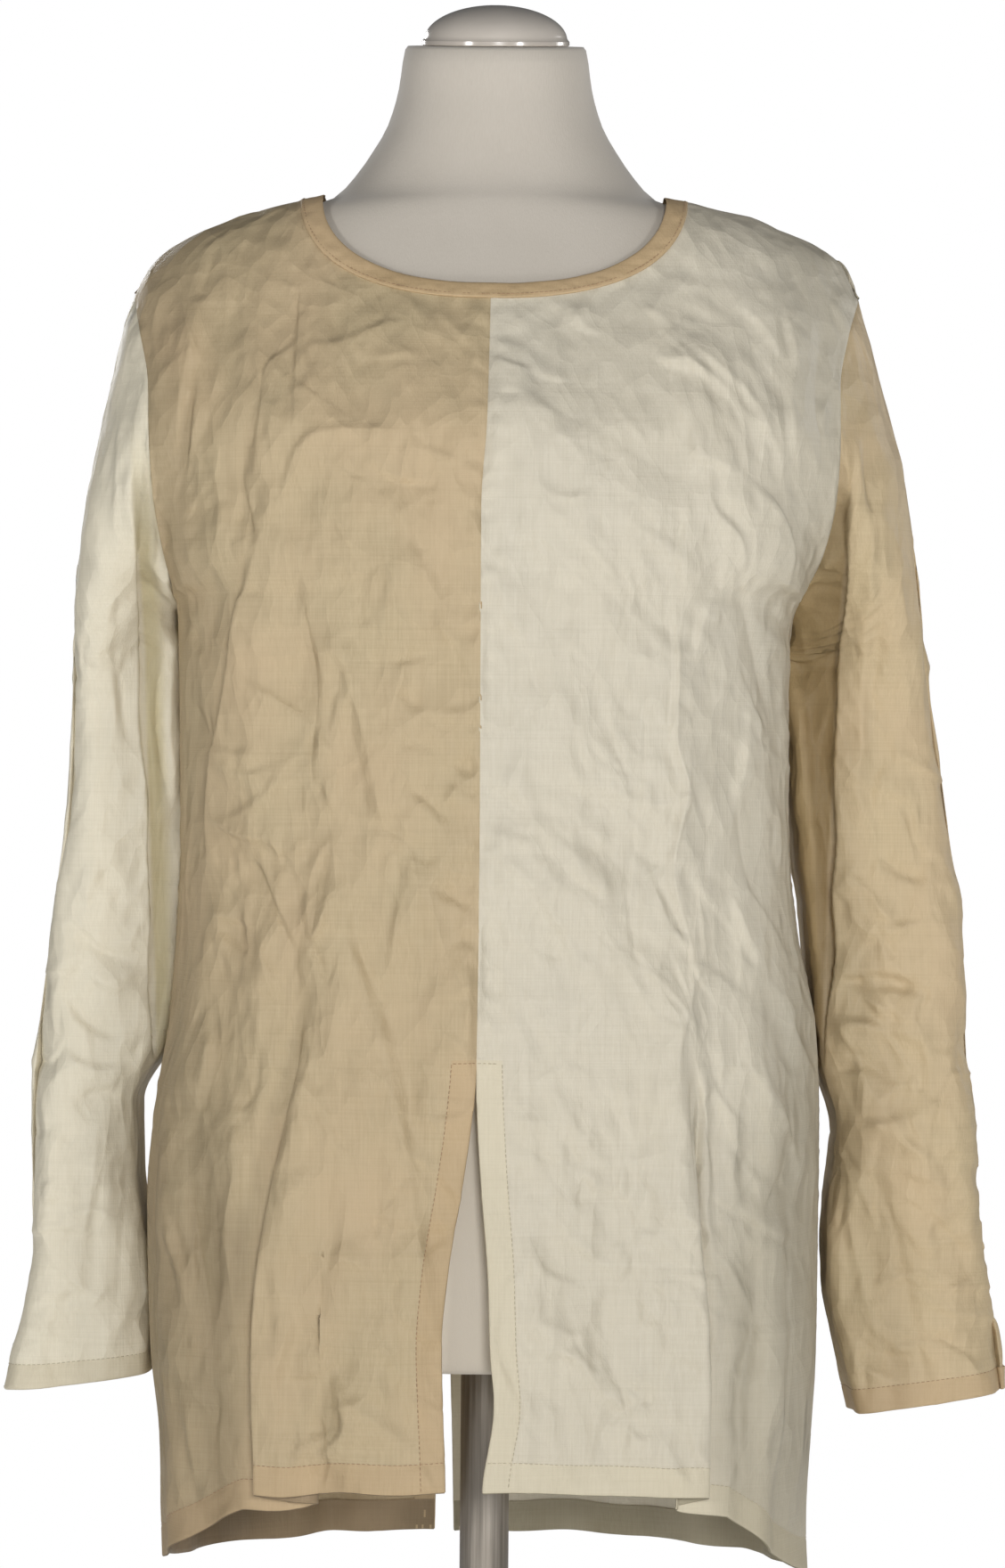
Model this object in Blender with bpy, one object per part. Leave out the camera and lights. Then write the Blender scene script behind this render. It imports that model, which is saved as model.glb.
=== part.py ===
"""A colour-blocked long-sleeved blouse on a limbless dress form.

Metres, +Z up. The origin is the centre of the stand's base on the floor, the wearer faces -Y,
and the wearer's left is +X. Each cloth piece is a thin wall whose outer face lies on one shared
surface, so that the pieces meet edge to edge at their seams.
"""

from collections import namedtuple
from math import cos, pi, radians, sin, tan

import bmesh
import bpy
import numpy as np

# ---------------------------------------------------------------- driving sizes

CLOTH_WALL = 0.0012
BINDING_WALL = 0.0018
BINDING_GAP = 0.0006
SEAM_GAP = 0.0003
BINDING_REACH_OUT = 0.0088  # how far the binding covers the neck's side, straight across
BINDING_RISE_SIDE = 0.0030  # and how far it climbs there
BINDING_RISE_CENTRE = 0.0068  # how far it climbs at the centres

NECK_HALF_WIDTH = 0.105
NECK_DROP_FRONT = 0.0615
NECK_DROP_BACK = 0.019
NECK_POWER = 2.4
NECK_SHARE = 0.5  # share of a panel's columns that start at the neckline

SHOULDER_LOWEST = 1.375  # heights between which the shoulder line is looked for
SHOULDER_HIGHEST = 1.445

ARMHOLE_HEIGHT = 1.299  # its centre
ARMHOLE_HALF_HEIGHT = 0.086
ARMHOLE_HALF_FRONT = 0.071
ARMHOLE_HALF_BACK = 0.077
UNDERARM_HEIGHT = ARMHOLE_HEIGHT - ARMHOLE_HALF_HEIGHT
BODY_MIDDLE = 0.005  # the side seams lie this far behind the post's axis
BODY_POWER = 2.35  # squareness of the body's level sections

POST_RADIUS = 0.0137
BASE_RADIUS = 0.18
BASE_THICKNESS = 0.006
BOSS_RADIUS = 0.032
BOSS_HEIGHT = 0.022
FORM_POWER = 2.3
CAP_RADIUS = 0.0412
CAP_HEIGHT = 0.0225
CAP_LIP = 0.003

PANEL_ROWS_ABOVE = 9  # rows beside the armhole; a sleeve has twice as many points round it
PANEL_ROWS_BELOW = 14
FRONT_COLUMNS = 16
BACK_COLUMNS = 12
SLEEVE_ROWS = 14
SLEEVE_HEAD_ROWS = 6

# Level sections of the cloth body. right and left are half widths, front and back are depths.
# Above the underarm the widths run on past the armholes, as if there were no sleeves.
BodySection = namedtuple("BodySection", "height right left front back")
BODY_SECTIONS = [
    BodySection(0.660, 0.1780, 0.1815, 0.141, 0.133),
    BodySection(0.700, 0.1800, 0.1800, 0.140, 0.132),
    BodySection(0.750, 0.1825, 0.1825, 0.139, 0.131),
    BodySection(0.800, 0.1880, 0.1850, 0.138, 0.130),
    BodySection(0.880, 0.1900, 0.1858, 0.137, 0.128),
    BodySection(0.930, 0.1860, 0.1860, 0.136, 0.127),
    BodySection(0.980, 0.1790, 0.1830, 0.135, 0.122),
    BodySection(1.030, 0.1755, 0.1735, 0.134, 0.117),
    BodySection(1.080, 0.1735, 0.1680, 0.134, 0.114),
    BodySection(1.150, 0.1735, 0.1655, 0.134, 0.112),
    BodySection(1.190, 0.1740, 0.1675, 0.134, 0.111),
    BodySection(1.213, 0.1755, 0.1710, 0.134, 0.111),
    BodySection(1.222, 0.1830, 0.1810, 0.134, 0.111),
    BodySection(1.240, 0.1990, 0.1990, 0.134, 0.111),
    BodySection(1.270, 0.2110, 0.2130, 0.133, 0.110),
    BodySection(1.300, 0.2130, 0.2150, 0.131, 0.110),
    BodySection(1.330, 0.2125, 0.2150, 0.121, 0.109),
    BodySection(1.360, 0.2090, 0.2120, 0.107, 0.107),
    BodySection(1.380, 0.2040, 0.2075, 0.098, 0.105),
    BodySection(1.390, 0.1980, 0.2020, 0.093, 0.102),
    BodySection(1.403, 0.1880, 0.1960, 0.088, 0.099),
    BodySection(1.4155, 0.1710, 0.1800, 0.083, 0.094),
    BodySection(1.424, 0.1520, 0.1590, 0.080, 0.090),
    BodySection(1.430, 0.1370, 0.1400, 0.078, 0.086),
    BodySection(1.434, 0.1220, 0.1240, 0.077, 0.084),
    BodySection(1.4367, 0.1060, 0.1060, 0.076, 0.083),
    BodySection(1.4410, 0.0945, 0.0945, 0.073, 0.079),
    BodySection(1.4480, 0.0850, 0.0850, 0.069, 0.074),
]

# How far out the armhole's edge lies at each height.
ArmholeRow = namedtuple("ArmholeRow", "height right left")
ARMHOLE_EDGE = [
    ArmholeRow(1.213, 0.1755, 0.1710),
    ArmholeRow(1.240, 0.1815, 0.1830),
    ArmholeRow(1.270, 0.1860, 0.1890),
    ArmholeRow(1.300, 0.1880, 0.1905),
    ArmholeRow(1.330, 0.1890, 0.1905),
    ArmholeRow(1.360, 0.1950, 0.1960),
    ArmholeRow(1.385, 0.2010, 0.2045),
]

# Hem heights along each half, from the centre line (0) to the side seam (1).
HemRow = namedtuple("HemRow", "along front back")
HEM = [
    HemRow(0.00, 0.7350, 0.6715),
    HemRow(0.35, 0.7310, 0.6712),
    HemRow(0.50, 0.7210, 0.6706),
    HemRow(0.70, 0.6980, 0.6705),
    HemRow(0.85, 0.6845, 0.6720),
    HemRow(1.00, 0.6775, 0.6775),
]
LEFT_HEM_DROP = 0.004  # how much lower the left half hangs at its side

# Where the centre edges run, sideways from the middle: one seam above the slit and the vent,
# two edges that part below them.
CentreRow = namedtuple("CentreRow", "height front_right front_left back_right back_left")
CENTRE_EDGES = [
    CentreRow(0.670, -0.0205, -0.0010, -0.0300, -0.0180),
    CentreRow(0.735, -0.0208, -0.0004, -0.0290, -0.0195),
    CentreRow(0.780, -0.0225, 0.0055, -0.0275, -0.0205),
    CentreRow(0.810, -0.0235, 0.0030, -0.0255, -0.0200),
    CentreRow(0.850, -0.0205, 0.0015, -0.0210, -0.0170),
    CentreRow(0.900, -0.0125, -0.0025, -0.0150, -0.0135),
    CentreRow(0.930, -0.0085, -0.0045, -0.0120, -0.0120),
    CentreRow(0.955, -0.0062, -0.0056, -0.0107, -0.0105),
    CentreRow(0.965, -0.0057, -0.0057, -0.0104, -0.0104),
    CentreRow(1.080, -0.0050, -0.0050, -0.0080, -0.0080),
    CentreRow(1.260, -0.0055, -0.0055, -0.0040, -0.0040),
    CentreRow(1.310, -0.0026, -0.0026, -0.0020, -0.0020),
    CentreRow(1.440, -0.0005, -0.0005, 0.0000, 0.0000),
]
CENTRE_REACH = 0.45  # share of a panel that its centre edge pulls along

# The largest folds hang from the bust and grow towards the hem. top_along and hem_along place a
# fold between the centre line (0) and the side seam (1). depth stands out and overlap laps it
# over itself; a plain ridge has no overlap.
Fold = namedtuple("Fold", "panel top_along hem_along half_width start full depth overlap")
FOLDS = [
    Fold("front_right", 0.36, 0.40, 0.110, 1.060, 0.800, 0.0100, 0.0240),
    Fold("front_right", 0.70, 0.72, 0.120, 1.120, 0.820, 0.0070, 0.0000),
    Fold("front_right", 0.16, 0.16, 0.120, 0.980, 0.780, 0.0040, 0.0000),
    Fold("front_left", 0.40, 0.42, 0.100, 1.020, 0.780, 0.0080, 0.0170),
    Fold("front_left", 0.60, 0.62, 0.080, 1.100, 0.820, 0.0060, 0.0000),
    Fold("front_left", 0.20, 0.18, 0.120, 1.000, 0.780, -0.0040, 0.0000),
    Fold("back_right", 0.28, 0.30, 0.130, 1.180, 0.850, 0.0090, 0.0000),
    Fold("back_right", 0.62, 0.66, 0.140, 1.200, 0.860, 0.0080, 0.0000),
    Fold("back_left", 0.24, 0.22, 0.120, 1.160, 0.840, 0.0080, 0.0000),
    Fold("back_left", 0.56, 0.60, 0.150, 1.220, 0.860, 0.0100, 0.0000),
]
COLUMN_CROWDING = 0.62  # how strongly a front's columns gather at its lapped fold

# Level rings of the sleeves. out and back place the centre, long and thick are half axes, turn is
# the angle of the long axis from straight out towards the front, in degrees, and rise is how much
# the ring climbs outwards.
SleeveRing = namedtuple("SleeveRing", "height out back long thick turn rise")
SLEEVE_RIGHT_RINGS = [
    SleeveRing(1.185, 0.1985, 0.022, 0.0660, 0.0200, 63, 0.00),
    SleeveRing(1.100, 0.2015, 0.026, 0.0640, 0.0215, 62, 0.00),
    SleeveRing(1.030, 0.2080, 0.030, 0.0600, 0.0240, 57, 0.00),
    SleeveRing(0.970, 0.2150, 0.032, 0.0560, 0.0250, 54, 0.00),
    SleeveRing(0.930, 0.2268, 0.028, 0.0500, 0.0205, 62, 0.00),
    SleeveRing(0.890, 0.2258, 0.026, 0.0500, 0.0210, 62, 0.00),
    SleeveRing(0.830, 0.2205, 0.026, 0.0480, 0.0240, 50, -0.03),
    SleeveRing(0.775, 0.2285, 0.020, 0.0470, 0.0250, 35, -0.12),
]
SLEEVE_LEFT_RINGS = [
    SleeveRing(1.185, 0.2020, 0.020, 0.0660, 0.0240, 58, 0.00),
    SleeveRing(1.100, 0.2120, 0.020, 0.0620, 0.0270, 52, 0.00),
    SleeveRing(1.030, 0.2205, 0.018, 0.0590, 0.0275, 48, 0.00),
    SleeveRing(0.960, 0.2260, 0.016, 0.0545, 0.0270, 46, 0.00),
    SleeveRing(0.920, 0.2325, 0.014, 0.0520, 0.0255, 52, 0.00),
    SleeveRing(0.880, 0.2325, 0.013, 0.0495, 0.0255, 36, 0.03),
    SleeveRing(0.840, 0.2345, 0.012, 0.0480, 0.0250, 20, 0.06),
    SleeveRing(0.800, 0.2420, 0.011, 0.0470, 0.0250, 18, 0.12),
    SleeveRing(0.768, 0.2475, 0.010, 0.0455, 0.0250, 24, 0.17),
]
SLEEVE_HEAD_FULLNESS = 0.007  # how far the sleeve head rounds outwards

# Level sections of the dress form. tilt leans the section forward, in degrees.
FormSection = namedtuple("FormSection", "height half_width front back middle tilt")
FORM_SECTIONS = [
    FormSection(0.7930, 0.1540, 0.1010, 0.1090, 0.004, 0),
    FormSection(0.7960, 0.1570, 0.1040, 0.1120, 0.004, 0),
    FormSection(0.8600, 0.1620, 0.1120, 0.1190, 0.004, 0),
    FormSection(0.9300, 0.1590, 0.1130, 0.1200, 0.004, 0),
    FormSection(1.0000, 0.1450, 0.1040, 0.1080, 0.004, 0),
    FormSection(1.0800, 0.1280, 0.0900, 0.0860, 0.004, 0),
    FormSection(1.1600, 0.1380, 0.1020, 0.0900, 0.004, 0),
    FormSection(1.2200, 0.1500, 0.1180, 0.0980, 0.004, 0),
    FormSection(1.2900, 0.1620, 0.1270, 0.1030, 0.004, 0),
    FormSection(1.3400, 0.1730, 0.1100, 0.1030, 0.004, 0),
    FormSection(1.3650, 0.1850, 0.0990, 0.1010, 0.004, 0),
    FormSection(1.3865, 0.1905, 0.0905, 0.0985, 0.004, 0),
    FormSection(1.4005, 0.1825, 0.0850, 0.0945, 0.004, 0),
    FormSection(1.4130, 0.1655, 0.0800, 0.0895, 0.004, 0),
    FormSection(1.4215, 0.1475, 0.0770, 0.0855, 0.004, 0),
    FormSection(1.4275, 0.1315, 0.0750, 0.0820, 0.004, 0),
    FormSection(1.4313, 0.1165, 0.0735, 0.0790, 0.004, 0),
    FormSection(1.4341, 0.1020, 0.0712, 0.0752, 0.003, 0),
    FormSection(1.4380, 0.0915, 0.0675, 0.0705, 0.001, 1),
    FormSection(1.4510, 0.0785, 0.0615, 0.0635, -0.001, 3),
    FormSection(1.4660, 0.0680, 0.0575, 0.0580, -0.003, 5),
    FormSection(1.4800, 0.0600, 0.0550, 0.0545, -0.005, 7),
    FormSection(1.5000, 0.0540, 0.0515, 0.0510, -0.008, 9),
    FormSection(1.5220, 0.0505, 0.0490, 0.0485, -0.011, 9.5),
    FormSection(1.5240, 0.0490, 0.0475, 0.0470, -0.011, 9.5),
]
FORM_POINTS_ROUND = 36

RIGHT, LEFT = -1, 1
FRONT, BACK = -1, 1


# ---------------------------------------------------------------- reading the tables


def column(rows, name):
    return np.array([getattr(row, name) for row in rows], dtype=float)


def table_slopes(keys, values):
    """Slopes at a table's rows that never carry the curve past its rows."""
    steps = np.diff(values) / np.diff(keys)
    before, after = steps[:-1], steps[1:]
    total = np.where(before * after > 0, before + after, 1)
    inner = np.where(before * after > 0, 2 * before * after / total, 0)
    return np.concatenate([steps[:1], inner, steps[-1:]])


def smooth_read(rows, key, name, at):
    """The named column at the key's values, on a smooth curve through the table's rows."""
    keys = column(rows, key)
    values = column(rows, name)
    slopes = table_slopes(keys, values)
    at = np.clip(np.asarray(at, dtype=float), keys[0], keys[-1])
    first = np.clip(np.searchsorted(keys, at, side="right") - 1, 0, len(keys) - 2)
    span = keys[first + 1] - keys[first]
    part = (at - keys[first]) / span
    start = (1 + 2 * part) * (1 - part) ** 2 * values[first]
    start_slope = part * (1 - part) ** 2 * span * slopes[first]
    end = part**2 * (3 - 2 * part) * values[first + 1]
    end_slope = part**2 * (part - 1) * span * slopes[first + 1]
    return start + start_slope + end + end_slope


def ease(value):
    value = np.clip(value, 0, 1)
    return value * value * (3 - 2 * value)


def unit(vectors):
    length = np.linalg.norm(vectors, axis=-1, keepdims=True)
    return vectors / np.maximum(length, 1e-9)


# ---------------------------------------------------------------- the cloth surface


def side_name(side):
    return "right" if side == RIGHT else "left"


def face_name(face):
    return "front" if face == FRONT else "back"


def half_width(side, height):
    return smooth_read(BODY_SECTIONS, "height", side_name(side), height)


def armhole_out(side, height):
    return smooth_read(ARMHOLE_EDGE, "height", side_name(side), height)


def depth_at(side, face, out, height):
    """How far in front of or behind the side seams the cloth lies."""
    depth = smooth_read(BODY_SECTIONS, "height", face_name(face), height)
    share = np.clip(out / half_width(side, height), 0, 1)
    return face * depth * (1 - share**BODY_POWER) ** (1 / BODY_POWER)


def shoulder_height(side, out):
    """The height of the shoulder line, which is where a level section is that wide."""
    heights = np.linspace(SHOULDER_LOWEST, SHOULDER_HIGHEST, 600)
    widths = half_width(side, heights)
    return np.interp(-out, -widths, heights)


def neck_point(side, face, turn, inner=False):
    """Out, y and height on the neckline, or on the binding's inner edge, from the centre (0) to
    the neck's side (a right angle)."""
    drop = NECK_DROP_FRONT if face == FRONT else NECK_DROP_BACK
    half = NECK_HALF_WIDTH
    top = shoulder_height(side, NECK_HALF_WIDTH)
    if inner:
        half -= BINDING_REACH_OUT
        top += BINDING_RISE_SIDE
        drop -= BINDING_RISE_CENTRE - BINDING_RISE_SIDE
    out = half * np.abs(np.sin(turn)) ** (2 / NECK_POWER)
    height = top - drop * np.abs(np.cos(turn)) ** (2 / NECK_POWER)
    return np.stack([out, depth_at(side, face, out, height), height], axis=-1)


def neck_points(side, face, parts, inner=False):
    """Points on the neckline at these shares of its length from the centre."""
    turns = np.linspace(0, pi / 2, 500)
    curve = neck_point(side, face, turns, inner)
    steps = np.linalg.norm(np.diff(curve, axis=0), axis=1)
    length = np.concatenate([[0], np.cumsum(steps)])
    return neck_point(side, face, np.interp(parts * length[-1], length, turns), inner)


def panel_top(side, face, along):
    """A panel's top edge as out, y, height: the neckline, then the shoulder line."""
    neck = neck_points(side, face, np.clip(along / NECK_SHARE, 0, 1))
    end = armhole_out(side, ARMHOLE_HEIGHT + ARMHOLE_HALF_HEIGHT)
    part = np.clip((along - NECK_SHARE) / (1 - NECK_SHARE), 0, 1)
    out = NECK_HALF_WIDTH + (end - NECK_HALF_WIDTH) * part
    shoulder = np.stack([out, 0 * out, shoulder_height(side, out)], axis=-1)
    on_neck = (along < NECK_SHARE - 1e-6)[:, None]
    return np.where(on_neck, neck, shoulder)


def panel_above(side, face, along, rows):
    """The stretch from the neckline and shoulder to the underarm, as rows of out, y, height."""
    down = np.linspace(0, 1, rows + 1)[:, None]
    top = panel_top(side, face, along)
    top_out, top_y, top_height = top.T
    along = along[None, :]
    edge_height = ARMHOLE_HEIGHT + ARMHOLE_HALF_HEIGHT * np.cos(pi * down)
    edge_out = armhole_out(side, edge_height)
    edge_reach = ARMHOLE_HALF_FRONT if face == FRONT else ARMHOLE_HALF_BACK
    edge_y = face * edge_reach * np.sin(pi * down)

    at_shoulder = ease((along - NECK_SHARE * 0.5) / (NECK_SHARE * 0.6))
    fall = (1 - at_shoulder) * down + at_shoulder * (1 - np.cos(down * pi / 2))
    at_edge = along**4
    fall = (1 - at_edge) * fall + at_edge * (1 - np.cos(pi * down)) / 2
    height = top_height + (UNDERARM_HEIGHT - top_height) * fall

    top_share = top_out / edge_out[0]
    low_share = np.sin(along * pi / 2)
    share = top_share + (low_share - top_share) * ease(down)
    out = share * edge_out
    y = depth_at(side, face, out, height)
    y = y + (edge_y - depth_at(side, face, edge_out, edge_height)) * at_edge
    y[0] = top_y
    return np.stack([out, y, height], axis=-1)


def panel_below(side, face, along, rows):
    """The stretch from the underarm to the hem, as rows of out, y, height."""
    down = np.linspace(0, 1, rows + 1)[:, None]
    along = along[None, :]
    hem = smooth_read(HEM, "along", face_name(face), along)
    if side == LEFT:
        hem = hem - LEFT_HEM_DROP * ease((along - 0.35) / 0.35)
    height = UNDERARM_HEIGHT + (hem - UNDERARM_HEIGHT) * down
    out = half_width(side, height) * np.sin(along * pi / 2)
    return np.stack([out, depth_at(side, face, out, height), height], axis=-1)


def add_folds(name, points, along):
    """Moves the points along the level normal and sideways, fold by fold."""
    sideways = np.gradient(points, axis=1)
    sideways[..., 2] = 0
    sideways = unit(sideways)
    outward = np.stack([sideways[..., 1], -sideways[..., 0], sideways[..., 2]], axis=-1)
    inside = (outward * (points - [0, BODY_MIDDLE, 0]))[..., :2].sum(axis=-1) < 0
    outward[inside] *= -1
    moved = points.copy()
    height = points[..., 2]
    for fold in FOLDS:
        if fold.panel != name:
            continue
        grown = ease((fold.start - height) / (fold.start - fold.full))
        low = np.clip((fold.start - height) / (fold.start - HEM[0].front), 0, 1)
        centre = fold.top_along + (fold.hem_along - fold.top_along) * low
        across = np.clip((along[None, :] - centre) / fold.half_width, -1, 1)
        ridge = np.cos(across * pi / 2) ** 2
        lap = -np.sin(across * pi)
        shape = (lap if fold.overlap else ridge) * grown
        moved += (fold.depth * shape)[..., None] * outward
        moved += (fold.overlap * shape)[..., None] * sideways
    return moved


def panel_surface(side, face, along, rows_above, rows_below):
    """The outer face of a panel, as rows by columns of x, y, z."""
    name = face_name(face) + "_" + side_name(side)
    above = panel_above(side, face, along, rows_above)
    below = panel_below(side, face, along, rows_below)
    points = np.concatenate([above, below[1:]])
    points[..., 0] *= side
    points[..., 1] += BODY_MIDDLE
    centre = smooth_read(CENTRE_EDGES, "height", name, points[..., 2])
    pull = (1 - ease(along / CENTRE_REACH))[None, :]
    points[..., 0] += centre * pull
    return add_folds(name, points, along)


def armhole_ring(side, points_round):
    """The armhole's edge, from the shoulder point down its front and up its back."""
    turn = np.arange(points_round) * 2 * pi / points_round
    height = ARMHOLE_HEIGHT + ARMHOLE_HALF_HEIGHT * np.cos(turn)
    reach = np.where(np.sin(turn) > 0, ARMHOLE_HALF_FRONT, ARMHOLE_HALF_BACK)
    out = armhole_out(side, height)
    return np.stack([side * out, BODY_MIDDLE - reach * np.sin(turn), height], axis=-1)


def sleeve_ring(side, rings, height, points_round):
    """One level ring of a sleeve, whose points start at its outer side and pass its front."""
    turn = np.arange(points_round) * 2 * pi / points_round
    read = {name: smooth_read(rings[::-1], "height", name, height) for name in SleeveRing._fields}
    lean = radians(read["turn"])
    along = read["long"] * np.cos(turn - lean)
    across = read["thick"] * np.sin(turn - lean)
    out = read["out"] + along * cos(lean) - across * sin(lean)
    front = along * sin(lean) + across * cos(lean)
    level = height + read["rise"] * (out - read["out"])
    return np.stack([side * out, read["back"] - front, level], axis=-1)


def sleeve_surface(side, head_rows, rows, points_round):
    """The outer face of a sleeve: a head that turns from the armhole, then level rings."""
    rings = SLEEVE_RIGHT_RINGS if side == RIGHT else SLEEVE_LEFT_RINGS
    armhole = armhole_ring(side, points_round)
    first = sleeve_ring(side, rings, rings[0].height, points_round)
    surface = []
    for row in range(head_rows):
        part = row / head_rows
        ring = armhole + (first - armhole) * part
        ring[:, 0] += side * SLEEVE_HEAD_FULLNESS * sin(pi * part)
        surface.append(ring)
    for height in np.linspace(rings[0].height, rings[-1].height, rows - head_rows + 1):
        surface.append(sleeve_ring(side, rings, height, points_round))
    return np.array(surface)


# ---------------------------------------------------------------- walls and meshes


def grid_normals(points, closed=False):
    """Unit normals of a grid of points; closed grids join their last column to their first."""
    if closed:
        wrapped = np.concatenate([points[:, -1:], points, points[:, :1]], axis=1)
        across = (wrapped[:, 2:] - wrapped[:, :-2]) / 2
    else:
        across = np.gradient(points, axis=1)
    return unit(np.cross(np.gradient(points, axis=0), across))


def wall_mesh(name, outer, inner, closed=False):
    """A closed wall between two like grids, whose outer faces point out."""
    rows, columns = outer.shape[:2]
    bm = bmesh.new()
    outer_verts = [[bm.verts.new(p) for p in row] for row in outer]
    inner_verts = [[bm.verts.new(p) for p in row] for row in inner]
    last = columns if closed else columns - 1

    def quad(a, b, c, d):
        bm.faces.new((a, b, c, d))

    for r in range(rows - 1):
        for c in range(last):
            n = (c + 1) % columns
            o, i = outer_verts, inner_verts
            quad(o[r][c], o[r + 1][c], o[r + 1][n], o[r][n])
            quad(i[r][c], i[r][n], i[r + 1][n], i[r + 1][c])
    for c in range(last):
        n = (c + 1) % columns
        quad(outer_verts[0][c], outer_verts[0][n], inner_verts[0][n], inner_verts[0][c])
        quad(inner_verts[-1][c], inner_verts[-1][n], outer_verts[-1][n], outer_verts[-1][c])
    if not closed:
        for r in range(rows - 1):
            quad(outer_verts[r][0], inner_verts[r][0], inner_verts[r + 1][0], outer_verts[r + 1][0])
            quad(outer_verts[r][-1], outer_verts[r + 1][-1], inner_verts[r + 1][-1], inner_verts[r][-1])
    bmesh.ops.triangulate(bm, faces=bm.faces[:])
    bmesh.ops.recalc_face_normals(bm, faces=bm.faces[:])
    return finish_mesh(name, bm, smooth=True)


def finish_mesh(name, bm, smooth, sharp_degrees=50):
    mesh = bpy.data.meshes.new(name)
    bm.to_mesh(mesh)
    bm.free()
    piece = bpy.data.objects.new(name, mesh)
    bpy.context.scene.collection.objects.link(piece)
    if smooth:
        mesh.shade_smooth()
        mesh.set_sharp_from_angle(angle=radians(sharp_degrees))
    return piece


def ring_loft(name, rings):
    """A closed solid through rings of like point counts, with flat ends."""
    bm = bmesh.new()
    loops = [[bm.verts.new(p) for p in ring] for ring in rings]
    count = len(loops[0])
    for lower, upper in zip(loops, loops[1:]):
        for c in range(count):
            n = (c + 1) % count
            bm.faces.new((lower[c], lower[n], upper[n], upper[c]))
    bm.faces.new(loops[0][::-1])
    bm.faces.new(loops[-1])
    bmesh.ops.recalc_face_normals(bm, faces=bm.faces[:])
    return finish_mesh(name, bm, smooth=True)


def turned(name, profile, points_round):
    """A solid turned about Z from a profile of radius and height, closed at both ends."""
    turn = np.arange(points_round) * 2 * pi / points_round
    rings = []
    for radius, height in profile:
        level = np.full(points_round, height)
        rings.append(np.stack([radius * np.cos(turn), radius * np.sin(turn), level], axis=-1))
    return ring_loft(name, rings)


def cloth_material(name, colour, roughness=0.75):
    material = bpy.data.materials.new(name)
    material.use_nodes = True
    shader = material.node_tree.nodes["Principled BSDF"]
    shader.inputs["Base Color"].default_value = (*colour, 1)
    shader.inputs["Roughness"].default_value = roughness
    return material


def metal_material(name, colour, roughness):
    material = cloth_material(name, colour, roughness)
    material.node_tree.nodes["Principled BSDF"].inputs["Metallic"].default_value = 1
    return material


# ---------------------------------------------------------------- the blouse


def panel_columns(name, face):
    """Column places of a panel. A front's gather at its lapped fold, and one of each panel's
    stands at the neck's side."""
    if face == BACK:
        along = np.linspace(0, 1, BACK_COLUMNS + 1)
    else:
        lapped = next(fold for fold in FOLDS if fold.panel == name and fold.overlap)
        even = np.linspace(0, 1, FRONT_COLUMNS + 1)
        wave = 2 * pi
        shift = np.sin(wave * (even - lapped.hem_along)) + sin(wave * lapped.hem_along)
        along = even - COLUMN_CROWDING / wave * shift
    along[np.abs(along - NECK_SHARE).argmin()] = NECK_SHARE
    return along


def blouse_grids():
    """Points and outward normals of every panel and sleeve, by name."""
    grids = {}
    for side in (RIGHT, LEFT):
        for face in (FRONT, BACK):
            name = face_name(face) + "_" + side_name(side)
            along = panel_columns(name, face)
            points = panel_surface(side, face, along, PANEL_ROWS_ABOVE, PANEL_ROWS_BELOW)
            normals = grid_normals(points)
            if (normals[-1, 0, 1] > 0) != (face == BACK):
                normals = -normals
            grids[name] = [points, normals, along]
        sleeve = sleeve_surface(side, SLEEVE_HEAD_ROWS, SLEEVE_ROWS, 2 * PANEL_ROWS_ABOVE)
        normals = grid_normals(sleeve, closed=True)
        if normals[-1, 0, 0] * side < 0:
            normals = -normals
        grids["sleeve_" + side_name(side)] = [sleeve, normals, None]
    return grids


def share_seam_normals(grids):
    """Pieces that meet at a seam lean their walls the same way there."""
    above = PANEL_ROWS_ABOVE
    for side in (RIGHT, LEFT):
        front = grids["front_" + side_name(side)][1]
        back = grids["back_" + side_name(side)][1]
        head = grids["sleeve_" + side_name(side)][1][0]
        seam = unit(front[above:, -1] + back[above:, -1])
        front[above:, -1] = seam
        back[above:, -1] = seam
        on_shoulder = grids["front_" + side_name(side)][2] >= NECK_SHARE
        front[0, on_shoulder] = unit(np.array([0.3 * side, 0, 1]))
        on_shoulder = grids["back_" + side_name(side)][2] >= NECK_SHARE
        back[0, on_shoulder] = unit(np.array([0.3 * side, 0, 1]))
        for row in range(above + 1):
            shared = unit(front[row, -1] + head[row])
            front[row, -1] = shared
            head[row] = shared
            across = (2 * above - row) % (2 * above)
            if 0 < row < above:
                shared = unit(back[row, -1] + head[across])
                head[across] = shared
            back[row, -1] = shared
    for face in ("front", "back"):
        right = grids[face + "_right"][1]
        left = grids[face + "_left"][1]
        seam = unit((right[:, 0] + left[:, 0]) * [0, 1, 1])
        right[:, 0] = seam
        left[:, 0] = seam


def open_seam_gaps(grids):
    """Draws the edges back so that pieces keep a small gap at each seam."""
    half = SEAM_GAP / 2
    for side in (RIGHT, LEFT):
        for face in (FRONT, BACK):
            name = face_name(face) + "_" + side_name(side)
            points, normals, along = grids[name]
            points[:, 0, 0] += side * half
            points[PANEL_ROWS_ABOVE:, -1, 1] += face * half
            points[0, along > NECK_SHARE - 1e-6, 1] += face * half
        sleeve = grids["sleeve_" + side_name(side)][0]
        sleeve[0, :, 0] += side * (SEAM_GAP + 0.0001)


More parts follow.
